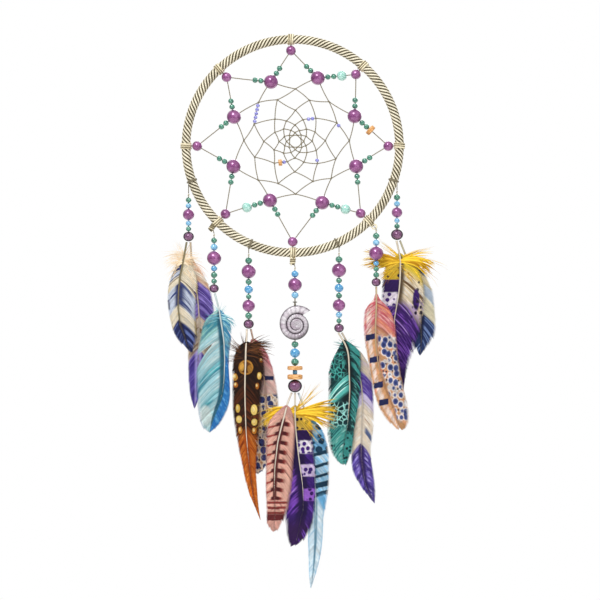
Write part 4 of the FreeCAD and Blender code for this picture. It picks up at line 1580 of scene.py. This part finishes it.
def peach_spotted_vane(name):
    """Rose above, tan dashes on the left, and navy spots in white lace on the right."""
    p = FeatherPaint(name, "e4aa78")
    p.cover("d4616e", p.above(p.root, 26, 9))
    p.cover("f5b9b6", p.brushed(0.42), p.above(p.root, 34, 6))
    p.cover("d68a6c", p.some(0.2))
    p.cover("f9e4da", p.left, p.band(p.reach, 0.35, 0.75, 0.2), p.brushed(0.6))
    lace = p.both(p.right, p.below(p.drop, 34, 4), p.above(p.drop, 94, 3), p.band(p.reach, 0.1, 0.95, 0.12))
    p.cover("f6ece6", lace, p.spots(4.0, 0.62, 1.25))
    p.cover("1a1c40", lace, p.spots(2.1, 0.26, 1.4, seed=7.0))
    p.cover("4d5a9a", lace, p.spots(4.0, 0.46, 1.25))
    p.cover("2c3468", lace, p.spots(4.0, 0.24, 1.25, 0.25))
    leaning = p.maths("ADD", p.drop, p.maths("MULTIPLY", p.side, 0.22))
    for side, drop in PEACH_DASHES:
        foot = drop + 0.22 * side
        across = p.band(p.side, side - 3.3, side + 3.3, 0.5)
        p.cover("232a58", p.band(leaning, foot - 2.1, foot + 2.1, 0.5), across)
    return p.finish("8a5038")


def yellow_purple_vane(name):
    """Yellow and cream above, purple below, with a spotted block on the left."""
    p = FeatherPaint(name, "40206e")
    p.cover("6b3fae", p.brushed(0.4))
    p.cover("2b1150", p.some(0.3))
    top = p.both(p.right, p.above(p.root, 40, 8))
    p.cover("f0dcb8", top)
    p.cover("fff6e8", top, p.brushed(0.4))
    p.cover("f4d23c", p.right, p.above(p.root, 20, 8))
    p.cover("6b5038", top, p.some(0.16))
    p.cover("6f5c3c", p.right, p.near(0.16, 0.16), p.above(p.root, 44, 10))
    p.cover("2a1a38", p.right, p.far(0.6), p.band(p.drop, 23, 38, 2), p.spots(3.4, 0.32, 1.2))
    p.cover("3a1a6c", p.right, p.oval(13.5, 42, 2.4, 7.5, 0.8))
    # painted highlight: lighter violet streaks on the purple
    p.cover("b48ee0", p.band(p.drop, 44, 66, 6), p.some(0.18))
    p.cover("efe2f8", p.band(p.drop, 46, 56, 5), p.some(0.1), p.far(0.2))
    p.cover("8d58cc", p.below(p.drop, 46, 8), p.brushed(0.35))
    p.cover("2a1a38", p.right, p.far(0.55), p.band(p.drop, 42, 58, 2), p.spots(3.2, 0.36, 1.2, seed=2.0))
    p.cover("eec33a", p.left, p.above(p.drop, 27.5, 0.8))
    p.cover("1c1030", p.left, p.band(p.drop, 19, 27, 1), p.spots(3.4, 0.36))
    p.cover("34185e", p.left, p.band(p.drop, 28, 36.5, 0.7))
    lace = p.both(p.left, p.band(p.drop, 36.5, 46, 1.2))
    p.cover("f3e9f6", lace)
    p.cover("47237e", lace, p.spots(3.4, 0.42))
    p.cover("2a1150", p.below(p.drop, 88, 14))
    return p.finish("2c1a3c")


def slate_navy_vane(name):
    """Slate, cream and pale blue, with a navy tip."""
    p = FeatherPaint(name, "efe6c6")
    p.cover("4a617c", p.above(p.root, 26, 4))
    p.cover("8fa5bc", p.above(p.root, 26, 4), p.some(0.35))
    p.cover("e8d9b2", p.band(p.root, 20, 27, 3), p.right)
    p.cover("c9d8ea", p.band(p.root, 27, 36, 3))
    p.cover("3d5680", p.band(p.root, 27, 36, 3), p.some(0.45))
    p.cover("8e7a4c", p.some(0.16), p.band(p.root, 34, 52, 4))
    tip = p.below(p.root, 50)
    p.cover("2b3c6c", tip)
    # painted highlight: blue streaks on the navy tip
    p.cover("6f86b8", tip, p.some(0.3), p.far(0.2))
    p.cover("17224a", tip, p.near(0.25, 0.2))
    return p.finish("5c5a44")


# ---------------------------------------------------------------- feathers: one by one

# Each look: the strand it hangs from, its vane's paint, the shaft's light and dark, the down's light and
# dark, torn places as (side, root, gap), and tufts as
# (side, level below the bead, spread, heading, curl, length, thick, count).
LOOKS = {
    "cream_navy_feather": dict(
        strand="far_left", vane=cream_navy_vane, quill=("8b8058", "4f4830"), down=("fbe9cc", "e6c79c"),
        splits=[(1, 26, 1.6)],
        tufts=[(-1, 13, 4.0, 15, -45, 16, 0.15, 44), (-1, 12, 4.0, 60, 5, 15, 0.13, 18),
               (1, 13, 4.0, 15, -35, 14, 0.15, 36), (1, 12, 4.0, 60, 0, 13, 0.13, 16),
               (-1, 17, 3.5, -25, -45, 15, 0.2, 24), (1, 18, 3.5, -30, -45, 19, 0.2, 24),
               (-1, 14, 2.0, 0, -50, 8, 0.45, 24), (1, 14, 2.0, 0, -50, 8, 0.45, 20)]),
    "peach_violet_feather": dict(
        strand="far_left", vane=peach_violet_vane, quill=("d8c8b0", "8a7860"), down=("fbdcc4", "dba680"),
        splits=[],
        tufts=[(1, 17, 3.0, -20, -50, 14, 0.2, 20)]),
    "sky_blue_feather": dict(
        strand="left", vane=sky_blue_vane, quill=("d4dcd8", "7f99a0"), down=("b4e2e6", "4f9fb8"),
        splits=[(-1, 31, 9.0), (1, 22, 1.5)],
        tufts=[(-1, 17, 2.0, -5, -10, 11, 0.35, 26), (-1, 15, 2.0, 60, -30, 9, 0.16, 8),
               (1, 17, 2.0, 0, -60, 13, 0.3, 26), (1, 15, 2.0, 65, -10, 8, 0.16, 8),
               (1, 24, 4.0, -35, -45, 10, 0.25, 16)]),
    "brown_spotted_feather": dict(
        strand="inner_left", vane=brown_spotted_vane, quill=("efe4d2", "a89880"), down=("6a4022", "1c0d06"),
        splits=[(-1, 74, 1.5), (1, 70, 1.2)],
        tufts=[(1, 15, 2.5, 34, -45, 20, 0.42, 40), (1, 17, 2.0, 10, -50, 17, 0.4, 26),
               (-1, 16, 2.5, 20, 20, 16, 0.26, 20), (-1, 19, 2.5, -15, 15, 14, 0.26, 18),
               (-1, 14, 2.0, 70, 20, 12, 0.22, 8)]),
    "pink_navy_feather": dict(
        strand="inner_left", vane=pink_navy_vane, quill=("d8b8a4", "8c6a58"), down=("f0a8a8", "c8707c"),
        splits=[],
        tufts=[(1, 13, 2.5, -15, -40, 12, 0.22, 18)]),
    "dusty_rose_feather": dict(
        strand="centre", vane=dusty_rose_vane, quill=("e6dccc", "a29484"), down=("dcaea6", "9c6c68"),
        splits=[],
        tufts=[(-1, 15, 2.0, -25, -35, 9, 0.2, 14), (1, 15, 2.0, -20, -40, 9, 0.2, 14)]),
    "purple_spotted_feather": dict(
        strand="centre", vane=purple_spotted_vane, quill=("e2dac8", "9c9080"), down=("fcd440", "b9860f"),
        splits=[],
        tufts=[(-1, 13, 0.8, 14, -55, 25, 0.75, 70), (-1, 14, 1.2, 8, -60, 32, 0.22, 16),
               (1, 14.5, 1.0, 10, -22, 30, 0.85, 80), (1, 13, 1.0, 42, 6, 27, 0.2, 18),
               (1, 17, 1.5, -22, -22, 26, 0.24, 22), (-1, 18, 1.5, -30, -30, 12, 0.25, 14)]),
    "blue_barred_feather": dict(
        strand="centre", vane=blue_barred_vane, quill=("d8e0e0", "90a4ac"), down=("a8d0e0", "6090ac"),
        splits=[(1, 60, 1.2)],
        tufts=[(1, 24, 3.0, -25, -40, 12, 0.2, 16), (-1, 24, 3.0, -40, -30, 7, 0.2, 10)]),
    "teal_feather": dict(
        strand="inner_right", vane=teal_vane, quill=("e6dcc8", "9a8e78"), down=("5aa8a4", "163c44"),
        splits=[(1, 27, 1.5)],
        tufts=[(-1, 11, 2.5, 25, -25, 10, 0.2, 20), (-1, 16, 3.0, -15, -40, 15, 0.22, 22),
               (1, 11, 2.5, 10, -55, 11, 0.22, 20), (1, 15, 3.0, -10, -50, 10, 0.22, 16),
               (1, 10, 2.0, 50, -20, 8, 0.16, 6)]),
    "cream_purple_feather": dict(
        strand="inner_right", vane=cream_purple_vane, quill=("d8ccb8", "8f8270"), down=("efe0cc", "c0a088"),
        splits=[(1, 54, 2.2)],
        tufts=[(1, 16, 3.0, -30, -40, 10, 0.2, 14)]),
    "peach_spotted_feather": dict(
        strand="right", vane=peach_spotted_vane, quill=("cdb894", "846c4c"), down=("eea09c", "c05c68"),
        splits=[(1, 38, 1.0)],
        tufts=[(-1, 12, 2.0, -25, -45, 12, 0.25, 20), (1, 12, 2.0, -30, -40, 10, 0.22, 14),
               (-1, 17, 3.0, -40, -40, 12, 0.2, 14)]),
    "yellow_purple_feather": dict(
        strand="far_right", vane=yellow_purple_vane, quill=("e6dcc8", "a09078"), down=("fdd63c", "b8820e"),
        splits=[(1, 30, 1.5)],
        tufts=[(-1, 15, 0.8, 8, -12, 27, 0.85, 76), (-1, 13, 1.0, 38, -6, 22, 0.2, 12),
               (-1, 19, 1.8, -25, -20, 20, 0.24, 20), (1, 15, 1.0, 14, -50, 25, 0.85, 70),
               (1, 13, 1.0, 25, -25, 27, 0.2, 14), (1, 15, 1.2, 5, -50, 34, 0.22, 10),
               (1, 19, 2.0, -35, -20, 16, 0.35, 24)]),
    "slate_navy_feather": dict(
        strand="far_right", vane=slate_navy_vane, quill=("cfc8a8", "7c7658"), down=("e8e0c8", "8fa0b0"),
        splits=[],
        tufts=[(1, 20, 3.0, -30, -40, 10, 0.18, 12)]),
}


def add_feather(name, look, seed):
    """One feather: barbs on both sides of its shaft, and the loose tufts at its top."""
    bead = node_box(look["strand"] + "_strand_end_bead")
    outline = Outline(name)
    form = Form()
    for side in (-1, 1):
        splits = [(where, gap) for split_side, where, gap in look["splits"] if split_side == side]
        add_barbs(form, outline, side, seed + side, splits, bead)
    add_quill(form, outline)
    for number, (side, level, *tuft) in enumerate(look["tufts"]):
        add_tuft(form, outline, seed * 10 + number, side, bead.low.z - level, *tuft)
    materials = [
        look["vane"](name),
        quill_paint(name + "_shaft", *look["quill"]),
        down_paint(name + "_down", *look["down"]),
    ]
    form.piece(name + "_barbs", materials, name)


# ---------------------------------------------------------------- stage and lights


FLOOR_RADIUS = 1.6
FLOOR_HEIGHT = -0.62
AIM = Vector((0, 0, -0.18))


def add_floor():
    """A wide pale disc well below the feathers."""
    mesh = bpy.data.meshes.new("floor")
    segments = 96
    turns = [2 * math.pi * segment / segments for segment in range(segments)]
    rim = [(FLOOR_RADIUS * math.cos(turn), FLOOR_RADIUS * math.sin(turn), FLOOR_HEIGHT) for turn in turns]
    mesh.from_pydata(rim, [], [list(range(segments))])
    paint = Paint("pale_floor", roughness=0.9)
    clouds = paint.noise(paint.place(), 0.01)
    mesh.materials.append(paint.done(paint.ramp(clouds, (0.3, "eeece9"), (0.7, "f0eeeb"))))
    floor = bpy.data.objects.new("floor", mesh)
    bpy.context.scene.collection.objects.link(floor)


def add_world():
    """White behind everything; its light is bright from above and dim from below."""
    world = bpy.data.worlds.new("studio")
    bpy.context.scene.world = world
    world.use_nodes = True
    nodes, links = world.node_tree.nodes, world.node_tree.links
    background = nodes["Background"]
    height = nodes.new("ShaderNodeSeparateXYZ")
    links.new(nodes.new("ShaderNodeTexCoord").outputs["Generated"], height.inputs[0])
    sky = nodes.new("ShaderNodeMapRange")
    links.new(height.outputs["Z"], sky.inputs["Value"])
    for socket, value in (("From Min", -0.6), ("From Max", 0.9), ("To Min", 0.05), ("To Max", 1.0)):
        sky.inputs[socket].default_value = value
    seen = nodes.new("ShaderNodeMix")
    links.new(nodes.new("ShaderNodeLightPath").outputs["Is Camera Ray"], seen.inputs[0])
    links.new(sky.outputs[0], seen.inputs[2])
    seen.inputs[3].default_value = 1.0
    links.new(seen.outputs[0], background.inputs["Strength"])
    background.inputs["Color"].default_value = (1, 1, 1, 1)


def add_light(name, place, size, power):
    """A soft square lamp aimed at the middle of the object."""
    data = bpy.data.lights.new(name, "AREA")
    data.size = size
    data.energy = power
    lamp = bpy.data.objects.new(name, data)
    lamp.location = place
    lamp.rotation_euler = (AIM - Vector(place)).to_track_quat("-Z", "Y").to_euler()
    bpy.context.scene.collection.objects.link(lamp)


# ---------------------------------------------------------------- make everything

bpy.context.scene.view_settings.view_transform = "Standard"
add_camera()
PAINTS = {
    "cord": cord_paint("cream_cotton_cord", "f1e6c6", "c4b691", "6d6248", 3.0, 2),
    "rope": cord_paint("wrap_cotton_cord", "f4ecd4", "857a5c", "38321f", 2.4, 2, groove_shade=(0.8, 1.0)),
    "thread": thread_paint(),
    "plum": pearl_paint("plum_pearl_lustre", "6a2a60", "8a4280", "b474ac"),
    "dark_plum": pearl_paint("dark_plum_cabochon", "54284e", "74406c", "a878a0"),
    "bezel": pearl_paint("bezel_resin", "120810", "1e101a", "30202c", 0.4),
    "bail": pearl_paint("aged_brass_bail", "3f3a2c", "5c5542", "7e755c", 0.3),
    "green": glass_paint("green_pressed_glass", "1f5a48", "37806a", "74bfa2"),
    "blue": glass_paint("blue_pressed_glass", "2f78ac", "4c9ed2", "8cccee"),
    "pale_blue": glass_paint("pale_blue_glass", "5098c4", "7cbce2", "b8e0f4"),
    "aqua": crackle_paint(),
    "lilac": glass_paint("lilac_glass", "6a6abe", "8a8ad8", "aeaeee"),
    "wood": wood_paint(),
    "stone": stone_paint(),
}

for strand_name in STRANDS:
    add_strand_cord(strand_name, PAINTS["cord"])
paint_ring(steel_paint())
add_wrap(PAINTS["rope"])
add_lashings(PAINTS["cord"])
add_ties(PAINTS["cord"], PAINTS["thread"])
add_web(PAINTS["thread"])
add_web_pearls(PAINTS["plum"])
add_web_seeds(PAINTS["green"])
add_web_accents(PAINTS["aqua"], PAINTS["lilac"])
add_web_discs(PAINTS["wood"])
for strand_name in STRANDS:
    add_strand_pearls(strand_name, PAINTS["plum"])
    add_strand_seeds(strand_name, [PAINTS["green"], PAINTS["blue"], PAINTS["pale_blue"]])
    add_end_bead(strand_name, PAINTS["dark_plum"], PAINTS["bezel"])
    add_hitch(strand_name, PAINTS["cord"])
add_wood_spacers(PAINTS["wood"])
add_ammonite(PAINTS["stone"], PAINTS["bail"])
for number, (feather_name, look) in enumerate(LOOKS.items()):
    add_feather(feather_name, look, 100 + 7 * number)

add_floor()
add_world()
add_light("key", (-0.5, -1.3, 1.2), 0.7, 24)
add_light("fill", (1.1, -1.5, 0.0), 1.2, 5)
add_light("back", (0.3, 1.5, 0.5), 1.0, 9)
